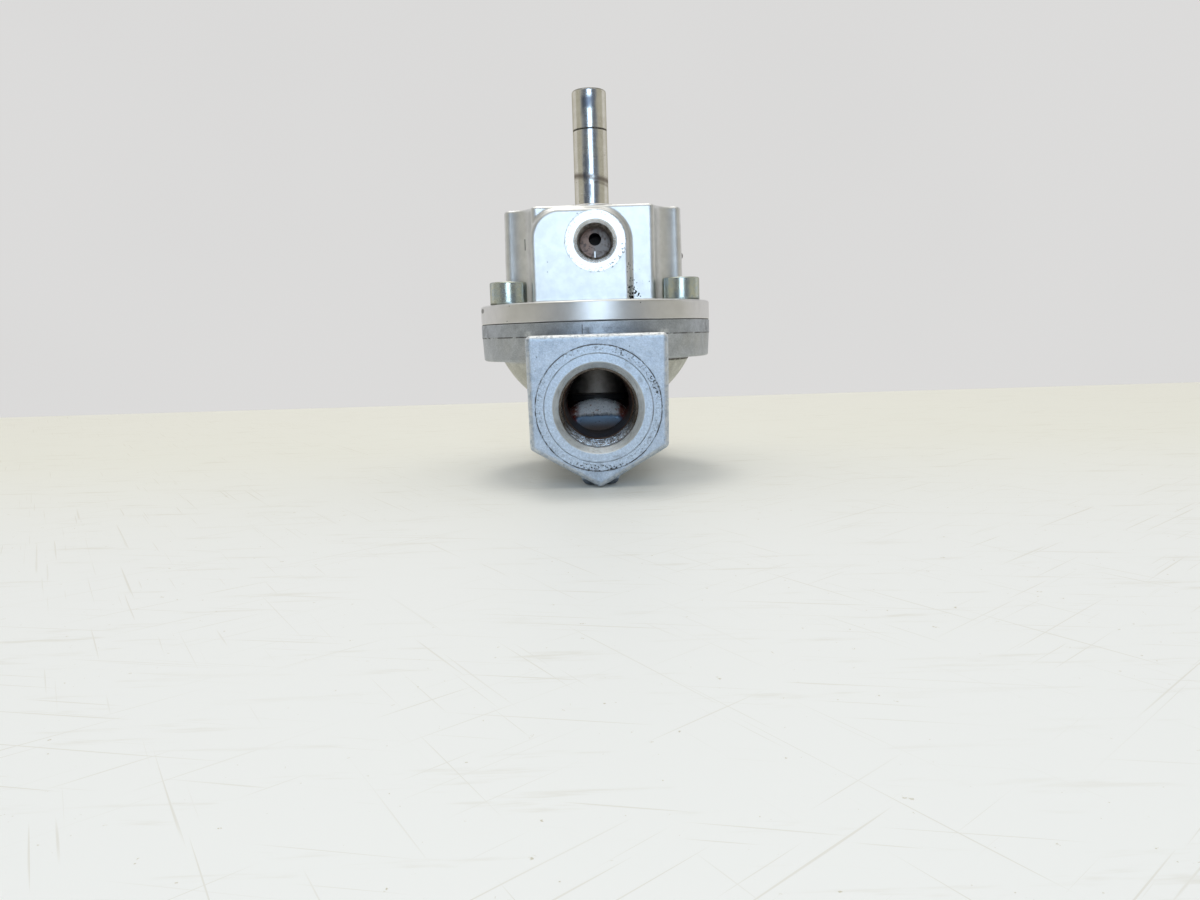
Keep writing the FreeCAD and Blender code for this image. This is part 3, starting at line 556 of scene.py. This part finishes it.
    # Port and chamber: oil-brown walls, the threads' bright crests at the bottom as painted light and their
    # oil above with painted shade, the nose, and the wall under it with painted shade towards its bottom
    crest = look.ramp(port_r, PORT_CREST_R + 0.55, PORT_CREST_R + 0.1)
    low_side = look.ramp(rise, -4.0, -8.0)
    thread_oil_and_shade = look.mix(look.patches(place, 1.4, 0.4, 0.62), THREAD_SHADED_OIL_DARK, THREAD_SHADED_OIL_LIGHT)
    thread_lit = look.mix(crest, THREAD_ROOT, THREAD_CREST)
    thread_rub = look.patches(look.stretched(place, 0.5, 1.6, 1.0), 1.1, 0.48, 0.60, 4.0, 0.7)
    thread_lit = look.mix(thread_rub, thread_lit, THREAD_RUB)
    # Painted light and shade: the threads' low side is painted clean and bright, the rest dark with oil and
    # painted shade.
    painted_lit_side = look.times(low_side, look.patches(place, 1.6, 0.26, 0.46))
    color = look.mix(threads, color, look.mix(painted_lit_side, thread_oil_and_shade, thread_lit))
    film = look.mix(look.patches(place, 2.6, 0.35, 0.68), PASSAGE_DARK, PASSAGE_LIGHT)
    color = look.mix(look.most(passage, chamber), color, film)
    # Painted shade: the wall face darkens from blue-grey to brown towards its bottom.
    color = look.mix(wall_face, color, look.tone(z, WALL_FOOT_Z, WALL_BLUE_Z, WALL_BOTTOM_SHADE, WALL_BLUE))
    nose_color = look.mix(look.patches(place, 0.5, 0.34, 0.48), NOSE_GRAY, gray(1.0))
    nose_color = look.mix(look.times(look.patches(place, 0.7, 0.60, 0.68), 0.7), nose_color, NOSE_RUST)
    nose_ends = look.times(look.ramp(side, *NOSE_END_X), look.patches(place, 1.2, 0.34, 0.54))
    nose_color = look.mix(nose_ends, nose_color, NOSE_RED)
    nose_color = look.mix(look.patches(place, 0.35, 0.63, 0.68, 3.0), nose_color, SOOT_AND_SHADE)
    color = look.mix(nose, color, nose_color)
    wall_rust = look.times(look.most(passage, at_wall), look.between(side, *WALL_RUST_X, 1.0),
                           look.between(z, *WALL_RUST_Z, 1.5), look.between(y, *WALL_RUST_Y, 1.5),
                           look.patches(place, 1.5, 0.38, 0.56))
    color = look.mix(wall_rust, color, RUST)

    rough = look.blend(look.most(spot, band), 0.50, 0.40)
    rough = look.blend(chamfer, rough, 0.42)
    rough = look.blend(threads, rough, 0.27)
    rough = look.blend(look.most(passage, chamber), rough, 0.50)
    rough = look.blend(nose, rough, 0.45)
    rough = look.blend(wall_face, rough, 0.30)
    rough = look.blend(look.most(rubbed, top_line), rough, 0.34)
    rough = look.add(rough, look.times(look.less(speckle, 0.5), look.blend(chamfer, 0.22, 0.03)))
    rough = look.blend(dirt_and_shade, rough, 0.85)
    metallic = look.inverse(nose)

    turning = look.math("SINE", look.times(look.blend(band, port_r, z), 34.0))
    normal = look.bump(look.times(turning, look.most(spot, band, chamfer)), 0.004, soft_normal, 0.6)
    cut_share = look.most(look.times(spot, 0.8), band, chamfer, wall_face)
    relief = look.add(look.times(grain, look.blend(cut_share, 0.9, 0.25)),
                      look.times(mottle, look.blend(cut_share, 1.4, 0.1)))
    relief = look.add(relief, look.times(speckle, look.blend(top_line, look.blend(nose, 0.5, 6.0), 3.0)))
    relief = look.less(relief, look.most(pits, look.times(ring_specks, 0.6)))
    normal = look.bump(relief, 0.07, normal)
    return look.wire(Base_Color=color, Metallic=metallic, Roughness=rough, Normal=normal)


def make_bonnet_casting():
    """Smooth satin die-casting with a turned rim and pilot face."""
    look = Look("bonnet_casting", Metallic=1.0)
    place = look.place()
    x, y, z = look.axes(place)
    axis_r = look.reach(x, y)
    pilot_rise = look.less(z, PILOT_Z)
    pilot_side = look.less(x, PILOT_X)
    pilot_r = look.reach(pilot_side, pilot_rise)
    clock = look.math("ARCTAN2", pilot_rise, pilot_side)

    # Where each surface is
    front = look.ramp(y, PILOT_FACE_Y + 0.5, PILOT_FACE_Y + 0.3)
    spot = look.times(front, look.disc(pilot_r, PILOT_SPOT_R, 0.04))
    rim = look.times(look.disc(z, PLATE_TOP_Z, 0.05), look.ramp(axis_r, RIM_R - 0.2, RIM_R))
    mouth = look.times(look.disc(pilot_r, PILOT_MOUTH_R, 0.03),
                       look.ramp(y, PILOT_LEAD_Y, PILOT_LEAD_Y - 0.2))
    bore = look.times(look.ramp(pilot_r, PILOT_BORE_R + 0.2, PILOT_BORE_R),
                      look.ramp(y, PILOT_LEAD_Y - 0.3, PILOT_LEAD_Y),
                      look.ramp(y, PILOT_DRILL_Y, PILOT_DRILL_Y - 1.0))
    bore_end = look.times(bore, look.ramp(y, PILOT_END_Y - 0.25, PILOT_END_Y - 0.1))

    grain = look.noise(place, 0.18, 4.0, 0.6)
    mottle = look.noise(place, 2.6, 4.0, 0.55)
    cloud = look.noise(place, 9.0, 2.0, 0.5)
    color = look.tone(mottle, 0.3, 0.7, BONNET_DARK, BONNET_LIGHT)
    color = look.mix(look.times(look.ramp(cloud, 0.5, 0.72), 0.35), color, BONNET_CLOUD)
    color = look.mix(spot, color, look.tone(mottle, 0.35, 0.65, gray(0.88), gray(0.94)))
    color = look.mix(rim, color, look.tone(mottle, 0.3, 0.7, gray(0.66, 0.01), gray(0.70, 0.01)))
    soft_normal = look.rounded(0.22)
    color = look.mix(look.times(look.edges(soft_normal), 0.5), color, gray(0.88))

    # Pilot port: bright lead-in, oil-brown thread, stained end with a glint under the drilled hole, and the
    # drilled hole painted near black as painted shade
    pilot_film = look.mix(look.patches(place, 1.1, 0.38, 0.62), PILOT_OIL_DARK, PILOT_OIL_LIGHT)
    color = look.mix(bore, color, pilot_film)
    end_color = look.tone(pilot_side, 0.6, -1.8, PILOT_END_GRAY, PILOT_END_BROWN)
    end_color = look.mix(look.patches(place, 0.9, 0.5, 0.62), end_color, PILOT_END_STAIN)
    color = look.mix(bore_end, color, end_color)
    # Painted shade: the drilled hole past the end face is near black.
    color = look.mix(look.times(bore, look.ramp(y, PILOT_END_Y + 0.5, PILOT_END_Y + 0.9)), color, SOOT_AND_SHADE)
    glint = look.times(bore_end, look.line(pilot_side, -0.1, 0.28),
                       look.between(pilot_rise, -3.9, -2.2, 0.3))
    color = look.mix(glint, color, gray(0.95))
    color = look.mix(look.times(mouth, look.patches(place, 0.9, 0.60, 0.68)), color, gray(0.45, 0.03))

    # Dirt and marks, with painted shade in the crease where the bonnet meets the plate
    pit_zone = look.times(look.ramp(x, PIT_ZONE_X - 0.8, PIT_ZONE_X),
                          look.ramp(x, PIT_ZONE_END_X, PIT_ZONE_X + 0.3),
                          look.ramp(y, PIT_ZONE_Y, PIT_ZONE_Y - 1.5))
    pit_share = look.blend(look.ramp(z, PIT_DENSE_Z, PIT_DENSE_Z - 7.0), 0.55, 1.0)
    pit_zone = look.times(pit_zone, look.ramp(z, PLATE_TOP_Z, PLATE_TOP_Z + 0.2), pit_share,
                          look.ramp(z, PIT_ZONE_Z, PIT_ZONE_Z - 5.0))
    pit_size = look.times(pit_zone, look.blend(look.patches(place, 1.2, 0.38, 0.58), 0.22, 0.72))
    pits = look.ramp(look.less(pit_size, look.cells(place, 0.66)), 0.0, 0.06)
    specks = look.times(look.ramp(look.cells(place, 2.6), 0.075, 0.045),
                        look.patches(place, 6.0, 0.52, 0.6, 1.0))
    ragged = look.blend(look.between(clock, -1.3, -0.1, 0.3), 0.45, 1.0)
    spot_marks = look.times(front, look.between(pilot_r, PILOT_SPOT_R - 0.9, PILOT_SPOT_R + 0.1, 0.35),
                            ragged, look.patches(place, 0.6, 0.56, 0.61, 3.0, 0.7))
    # Painted shade in ragged patches along the crease where the bonnet meets the plate.
    foot_shade = look.times(look.ramp(z, PLATE_TOP_Z + 0.02, PLATE_TOP_Z + 0.06),
                           look.ramp(z, PLATE_TOP_Z + 0.7, PLATE_TOP_Z + 0.1),
                           look.ramp(axis_r, RIM_R - 1.4, RIM_R - 3.4),
                           look.patches(place, 2.0, 0.44, 0.62))
    nick = look.times(look.line(x, NICK_X, 0.24), look.between(z, *NICK_Z, 0.2), look.ramp(y, -6.0, -7.0),
                      look.ramp(y, -15.0, -14.0))
    chip = look.times(look.ramp(look.reach(look.add(x, CHIP_LEFT), look.less(z, CHIP_Z)), 0.8, 0.45),
                      look.ramp(y, 0.0, -2.0))
    scuffs = look.patches(look.stretched(place, 1.0, 1.0, 0.07), 0.22, 0.70, 0.76, 2.0, 0.5, 0.6)
    seam = look.times(look.line(z, JOINT_Z, SEAM_HALF), look.ramp(axis_r, SEAM_R - 1.0, SEAM_R),
                      look.patches(place, 3.0, 0.2, 0.4))
    dirt_and_shade = look.most(pits, look.times(specks, 0.7), look.times(spot_marks, 0.75),
                     look.times(foot_shade, 0.5), look.times(nick, 0.8), look.times(chip, 0.6), seam)
    color = look.mix(dirt_and_shade, color, SOOT_AND_SHADE)

    rough = look.blend(rim, 0.40, 0.33)
    rough = look.blend(spot, rough, 0.34)
    rough = look.blend(mouth, rough, 0.24)
    rough = look.add(rough, look.times(look.less(grain, 0.5), 0.14))
    rough = look.add(rough, look.times(scuffs, 0.1))
    rough = look.blend(dirt_and_shade, rough, 0.8)

    turning = look.math("SINE", look.times(look.blend(spot, z, pilot_r), 42.0))
    normal = look.bump(look.times(turning, look.most(spot, rim)), 0.003, soft_normal, 0.6)
    relief = look.less(look.add(look.times(grain, 0.5), look.times(mottle, 0.25)), look.most(pits, specks))
    normal = look.bump(relief, 0.035, normal)
    return look.wire(Base_Color=color, Roughness=rough, Normal=normal)


def make_tube_steel():
    """Ground and polished stainless steel with a rubbed brown band, finger-dark smudges and a painted blue
    reflection down its middle.
    """
    look = Look("tube_steel", Metallic=1.0, Specular_Tint=TUBE_TINT)
    place = look.place()
    x, y, z = look.axes(place)
    streaks = look.noise(look.stretched(look.around(place, 1.0), 0.2, 6.0, 1.2), 1.2, 3.0)
    film = look.noise(place, 2.6, 4.0, 0.6)
    color = look.tone(film, 0.35, 0.7, TUBE_DARK, TUBE_LIGHT)
    # Painted reflection: blue patches down the middle of the tube, beside its highlight.
    blue_sheen = look.times(look.between(x, *TUBE_BLUE_SHEEN_X, 0.9),
                      look.patches(look.stretched(place, 1.0, 1.0, 0.3), 1.6, 0.34, 0.56))
    color = look.mix(look.times(blue_sheen, 0.55), color, TUBE_BLUE_SHEEN)

    front = look.ramp(y, 0.0, -2.0)
    slope = look.add(z, look.times(x, 0.17))
    band = look.times(look.line(slope, TUBE_BAND_Z, 1.35), look.patches(place, 1.6, 0.26, 0.46, 3.0))
    tail_slope = look.add(z, look.times(x, 0.30))
    band_tail = look.times(look.line(tail_slope, TUBE_TAIL_Z, 0.8), look.ramp(x, -0.5, 1.5), front, 0.6)
    smudge = look.patches(look.stretched(place, 1.0, 1.0, 0.5), 1.5, 0.34, 0.56, 3.0, 0.55)
    cloud = look.patches(look.stretched(place, 1.0, 1.0, 0.8), 3.0, 0.28, 0.62, 1.0, 0.4)
    top_smudge = look.times(look.between(z, *TOP_SMUDGE_Z, 1.6), look.between(x, *TOP_SMUDGE_X, 1.0),
                            cloud, front)
    low_smudge = look.times(look.between(z, *LOW_SMUDGE_Z, 2.0), look.between(x, *LOW_SMUDGE_X, 0.6),
                            smudge, front)
    foot_smudge = look.times(look.between(z, *FOOT_SMUDGE_Z, 1.0), look.between(x, *FOOT_SMUDGE_X, 0.6),
                             smudge, front)
    top_edge = look.ramp(z, TUBE_TOP_Z - 0.5, TUBE_TOP_Z - 0.25)
    groove = look.most(look.line(z, TUBE_JOINT_Z, 0.40), look.times(top_edge, 0.7))
    specks = look.ramp(look.cells(place, 3.0), 0.05, 0.03)
    color = look.mix(look.times(look.most(band, band_tail), 0.75), color, TUBE_BAND)
    smudges = look.most(look.times(top_smudge, 0.8), look.times(low_smudge, 0.7),
                        look.times(foot_smudge, 0.6))
    color = look.mix(smudges, color, TUBE_SMUDGE)
    color = look.mix(look.most(groove, specks), color, SOOT_AND_SHADE)

    rough = look.add(0.19, look.times(look.ramp(streaks, 0.4, 0.8), 0.10))
    rough = look.blend(look.most(band, smudges), rough, 0.42)
    normal = look.bump(streaks, 0.006, look.rounded(0.15), 0.7)
    return look.wire(Base_Color=color, Roughness=rough, Normal=normal)


def make_zinc_steel():
    """Zinc plate: green-grey with a faint yellow, blue where it is thick, dull and dirty in places, with
    painted shade where the heads sit on the plate.
    """
    look = Look("zinc_steel", Metallic=1.0, Specular_Tint=ZINC_TINT)
    place = look.place()
    x, y, z = look.axes(place)
    tint = look.noise(place, 3.4, 3.0, 0.6)
    color = look.tone(tint, 0.35, 0.62, ZINC_GREEN, ZINC_YELLOW)
    blue = look.patches(place, 2.4, 0.50, 0.64, 3.0, 0.6, 0.6)
    color = look.mix(look.times(blue, 0.5), color, ZINC_BLUE)
    spots = look.patches(place, 0.6, 0.64, 0.71, 3.0, 0.75)
    # Painted shadow: the heads darken where they sit on the plate.
    under_head_shade = look.times(look.line(z, PLATE_TOP_Z, 0.8), look.ramp(tint, 0.35, 0.5))
    from_screw = look.reach(look.less(look.size(x), SCREW_X), look.less(look.size(y), SCREW_Y))
    in_socket = look.times(look.between(z, PLATE_TOP_Z + SOCKET_LOW, PLATE_TOP_Z + SOCKET_HIGH, 0.3),
                           look.ramp(from_screw, SOCKET_R + 0.2, SOCKET_R))
    dirt_and_shade = look.most(look.times(spots, 0.7), look.times(under_head_shade, 0.75), look.times(in_socket, 0.7))
    color = look.mix(dirt_and_shade, color, ZINC_DIRT_AND_SHADE)
    rough = look.add(look.blend(dirt_and_shade, 0.17, 0.6), look.times(look.noise(place, 0.5, 3.0), 0.14))
    normal = look.bump(look.noise(place, 0.9, 3.0), 0.02, look.rounded(0.2), 0.5)
    return look.wire(Base_Color=color, Roughness=rough, Normal=normal)


def make_turned_metal(name, light, dark, rough_low, rough_high, stain=0.35):
    """Turned and handled metal: rings of cutter marks, a film of oil and small dark specks."""
    look = Look(name, Metallic=1.0)
    place = look.place()
    x, y, z = look.axes(place)
    film = look.noise(place, 1.8, 4.0, 0.6)
    color = look.tone(film, 0.35, 0.68, dark, light)
    specks = look.times(look.patches(place, 0.5, 0.62, 0.70, 3.0, 0.7), stain)
    shaded = tuple(SPECK_SHADE * part for part in dark[:3]) + (1.0,)
    color = look.mix(specks, color, shaded)
    rough = look.blend(look.ramp(film, 0.3, 0.7), rough_low, rough_high)
    rings = look.math("SINE", look.times(look.add(z, look.reach(x, y)), 38.0))
    normal = look.bump(rings, 0.003, look.rounded(0.12), 0.6)
    normal = look.bump(look.noise(place, 0.3, 3.0), 0.012, normal, 0.5)
    return look.wire(Base_Color=color, Roughness=rough, Normal=normal)


def make_soft(name, light, dark, roughness):
    """Moulded rubber or plastic with a faint bloom."""
    look = Look(name, Metallic=0.0)
    place = look.place()
    bloom = look.noise(place, 1.4, 4.0, 0.6)
    color = look.tone(bloom, 0.35, 0.75, dark, light)
    rough = look.add(roughness, look.times(look.less(bloom, 0.5), 0.25))
    normal = look.bump(look.noise(place, 0.18, 3.0), 0.015, look.rounded(0.1), 0.6)
    return look.wire(Base_Color=color, Roughness=rough, Normal=normal)


def dress(name, material):
    mesh = nodes[name].data
    mesh.materials.clear()
    mesh.materials.append(material)


def aim(obj, target):
    obj.rotation_mode = "QUATERNION"
    obj.rotation_quaternion = (target - obj.location).to_track_quat("-Z", "Y")


def add_lamp(name, place, size, power, color):
    lamp = bpy.data.lights.new(name, "AREA")
    lamp.shape = "RECTANGLE"
    lamp.size, lamp.size_y = size
    lamp.energy = power
    lamp.color = color
    obj = bpy.data.objects.new(name, lamp)
    obj.location = place
    aim(obj, AIM)
    bpy.context.scene.collection.objects.link(obj)


def add_back_light():
    """Broad light from behind and above, which throws the valve's soft shadow forward."""
    lamp = bpy.data.lights.new("back", "SUN")
    lamp.energy = BACK_STRENGTH
    lamp.angle = BACK_WIDTH
    lamp.color = BACK_COLOR
    obj = bpy.data.objects.new("back", lamp)
    obj.location = BACK_PLACE
    aim(obj, Vector((0.0, 0.0, 0.0)))
    bpy.context.scene.collection.objects.link(obj)


def add_sheet(name, corners, material):
    mesh = bpy.data.meshes.new(name)
    mesh.from_pydata(corners, [], [tuple(range(len(corners)))])
    mesh.materials.append(material)
    obj = bpy.data.objects.new(name, mesh)
    bpy.context.scene.collection.objects.link(obj)
    return obj


def add_spring(node, wire_r, turns):
    """Coil spring with closed and ground ends in its solid's place."""
    low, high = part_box(node)
    mid_r = 0.5 * (high.x - low.x) - wire_r
    start = low.z + SPRING_GROUND * wire_r
    closed_rise = 2.0 * wire_r
    open_rise = (high.z - low.z - 2.0 * SPRING_GROUND * wire_r - 2.0 * closed_rise) / (turns - 2.0)
    form = bmesh.new()
    rings = []
    for step in range(int(turns * SPRING_STEPS) + 1):
        turn = step / SPRING_STEPS
        around = math.tau * turn
        open_turns = min(max(turn - 1.0, 0.0), turns - 2.0)
        middle = start + open_rise * open_turns + closed_rise * (turn - open_turns)
        ring = []
        for side in range(SPRING_SIDES):
            angle = math.tau * side / SPRING_SIDES
            reach = mid_r + wire_r * math.cos(angle)
            height = min(max(middle + wire_r * math.sin(angle), low.z), high.z)
            ring.append(form.verts.new((reach * math.cos(around), reach * math.sin(around), height)))
        rings.append(ring)
    for ring, after in zip(rings, rings[1:]):
        for side in range(SPRING_SIDES):
            beside = (side + 1) % SPRING_SIDES
            form.faces.new((ring[side], after[side], after[beside], ring[beside])).smooth = True
    form.faces.new(rings[0])
    form.faces.new(rings[-1])
    bmesh.ops.recalc_face_normals(form, faces=form.faces)
    mesh = bpy.data.meshes.new(node + "_coil")
    form.to_mesh(mesh)
    form.free()
    obj = bpy.data.objects.new(node + "_coil", mesh)
    bpy.context.scene.collection.objects.link(obj)
    mesh.materials.append(spring_steel)
    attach(obj, "housing")
    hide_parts(node)
    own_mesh(obj)


def make_floor_paint():
    """Worn white table top, painted warmer and a little darker towards the wall as painted light, with
    faint rubs and long thin scratches.
    """
    look = Look("floor_paint", Metallic=0.0, Roughness=0.5)
    place = look.place()
    x, y, z = look.axes(place)
    # Painted light: the floor goes warmer and a little darker towards the wall.
    color = look.tone(y, FLOOR_FAR_LIGHT_START_Y, FLOOR_FAR_LIGHT_END_Y, FLOOR_COLOR, FLOOR_FAR_LIGHT)
    rubs = look.patches(look.stretched(place, 0.12, 1.0, 1.0), 3.5, 0.56, 0.72, 4.0, 0.7)
    scratches = []
    for angle in FLOOR_SCRATCH_ANGLES:
        turn = {"Vector": place, "Axis": (0.0, 0.0, 1.0), "Angle": angle}
        turned = look.node("ShaderNodeVectorRotate", turn).outputs[0]
        drawn_out = look.stretched(turned, 0.012, 1.0, 1.0)
        scratches.append(look.patches(drawn_out, 0.45, 0.69, 0.75, 1.0, 0.5, 0.5))
    specks = look.patches(place, 1.4, 0.68, 0.73, 3.0, 0.7)
    scratch = look.most(*scratches)
    marks = look.most(look.times(rubs, 0.28), look.times(scratch, 0.30), look.times(specks, 0.8))
    marks = look.times(marks, look.patches(place, 55.0, 0.28, 0.52, 2.0))
    return look.wire(Base_Color=look.mix(marks, color, FLOOR_MARK))


def make_wall_glow():
    """Evenly lit pale wall: it glows instead of taking the lamps' light, so it has no hot spot."""
    look = Look("wall_glow", **GLOW)
    cloud = look.noise(look.place(), 180.0, 2.0, 0.5)
    darker = tuple(WALL_CLOUD * part for part in WALL_GLOW[:3]) + (1.0,)
    return look.wire(Emission_Color=look.tone(cloud, 0.35, 0.75, WALL_GLOW, darker))


def make_curtain():
    """Dusky screen behind the key light, for the dark bands in the polished metal, unseen by the camera."""
    look = Look("curtain", **GLOW)
    x, y, z = look.axes(look.place())
    glow = look.tone(look.reach(x, z), CURTAIN_FADE_R, CURTAIN_END_R, CURTAIN_COLOR, ROOM_COLOR)
    return look.wire(Emission_Color=glow)


def upright_sheet(y, height):
    return [(-STAGE_HALF, y, 0), (STAGE_HALF, y, 0), (STAGE_HALF, y, height), (-STAGE_HALF, y, height)]


def make_stage():
    half = STAGE_HALF
    floor_corners = [(-half, -half, 0), (half, -half, 0), (half, WALL_Y, 0), (-half, WALL_Y, 0)]
    add_sheet("floor", floor_corners, make_floor_paint())
    wall = add_sheet("wall", upright_sheet(WALL_Y, WALL_HEIGHT), make_wall_glow())
    wall.visible_shadow = False
    curtain = add_sheet("curtain", upright_sheet(CURTAIN_Y, CURTAIN_HEIGHT), make_curtain())
    curtain.visible_camera = False


def make_world():
    """Even, pale and slightly warm room."""
    world = bpy.data.worlds.new("studio")
    bpy.context.scene.world = world
    world.use_nodes = True
    world.node_tree.nodes["Background"].inputs["Color"].default_value = ROOM_COLOR


def make_camera():
    camera = bpy.data.cameras.new("camera")
    camera.sensor_width = SENSOR_WIDTH
    camera.sensor_fit = "HORIZONTAL"
    camera.lens = FOCAL_PIXELS / IMAGE_WIDTH * SENSOR_WIDTH
    camera.clip_start = CLIP_NEAR
    camera.clip_end = CLIP_FAR
    ahead = Vector((math.sin(CAMERA_YAW) * math.cos(CAMERA_PITCH),
                    math.cos(CAMERA_YAW) * math.cos(CAMERA_PITCH),
                    -math.sin(CAMERA_PITCH)))
    level = Vector((math.cos(CAMERA_YAW), -math.sin(CAMERA_YAW), 0.0))
    upright = level.cross(ahead)
    right = level * math.cos(CAMERA_ROLL) + upright * math.sin(CAMERA_ROLL)
    up = upright * math.cos(CAMERA_ROLL) - level * math.sin(CAMERA_ROLL)
    turn = Matrix((right, up, -ahead)).transposed()
    obj = bpy.data.objects.new("camera", camera)
    obj.matrix_world = Matrix.Translation(CAMERA_PLACE) @ turn.to_4x4()
    bpy.context.scene.collection.objects.link(obj)
    bpy.context.scene.camera = obj


bpy.context.scene.view_settings.view_transform = "Standard"
make_camera()
make_world()
make_stage()
add_lamp("key", KEY_PLACE, KEY_SIZE, KEY_POWER, KEY_COLOR)
add_lamp("top", TOP_PLACE, TOP_SIZE, TOP_POWER, TOP_COLOR)
add_back_light()

tube_steel = make_tube_steel()
stainless = make_turned_metal("stainless", gray(0.66, 0.02), gray(0.56, 0.02), 0.18, 0.32)
spring_steel = make_turned_metal("spring_steel", gray(0.55, 0.02), gray(0.40, 0.02), 0.22, 0.36)
rubber_black = make_soft("rubber_black", gray(0.035), gray(0.018), 0.55)
materials = {
    "valve_body": make_body_casting(),
    "bonnet": make_bonnet_casting(),
    "bonnet_screws": make_zinc_steel(),
    "armature_tube": tube_steel,
    "pole_piece": tube_steel,
    "tube_bush": make_turned_metal("bush_steel", gray(0.72, 0.01), gray(0.62, 0.01), 0.22, 0.36),
    "passage_plug": make_turned_metal("plug_steel", gray(0.20, 0.06), gray(0.11, 0.06), 0.30, 0.45),
    "piston": make_turned_metal("piston_metal", PISTON_LIGHT, PISTON_DARK, 0.48, 0.60),
    "plunger": make_turned_metal("plunger_steel", gray(0.58, 0.02), gray(0.47, 0.02), 0.20, 0.34),
    "pilot_nozzle": make_turned_metal("brass", BRASS_LIGHT, BRASS_DARK, 0.22, 0.36),
    "shading_ring": make_turned_metal("copper", COPPER_LIGHT, COPPER_DARK, 0.22, 0.38),
    "seat_ring": stainless,
    "seat_retainer": stainless,
    "poppet_screw": stainless,
    "bonnet_oring": rubber_black,
    "tube_oring": rubber_black,
    "piston_seal": rubber_black,
    "seat_disc": rubber_black,
    "plunger_seal": make_soft("rubber_red", RED_LIGHT, RED_DARK, 0.5),
    "piston_guide_ring": make_soft("guide_plastic", GUIDE_LIGHT, GUIDE_DARK, 0.45),
}
for name, material in materials.items():
    dress(name, material)
add_spring("return_spring", RETURN_WIRE_R, RETURN_TURNS)
add_spring("plunger_spring", PLUNGER_WIRE_R, PLUNGER_TURNS)
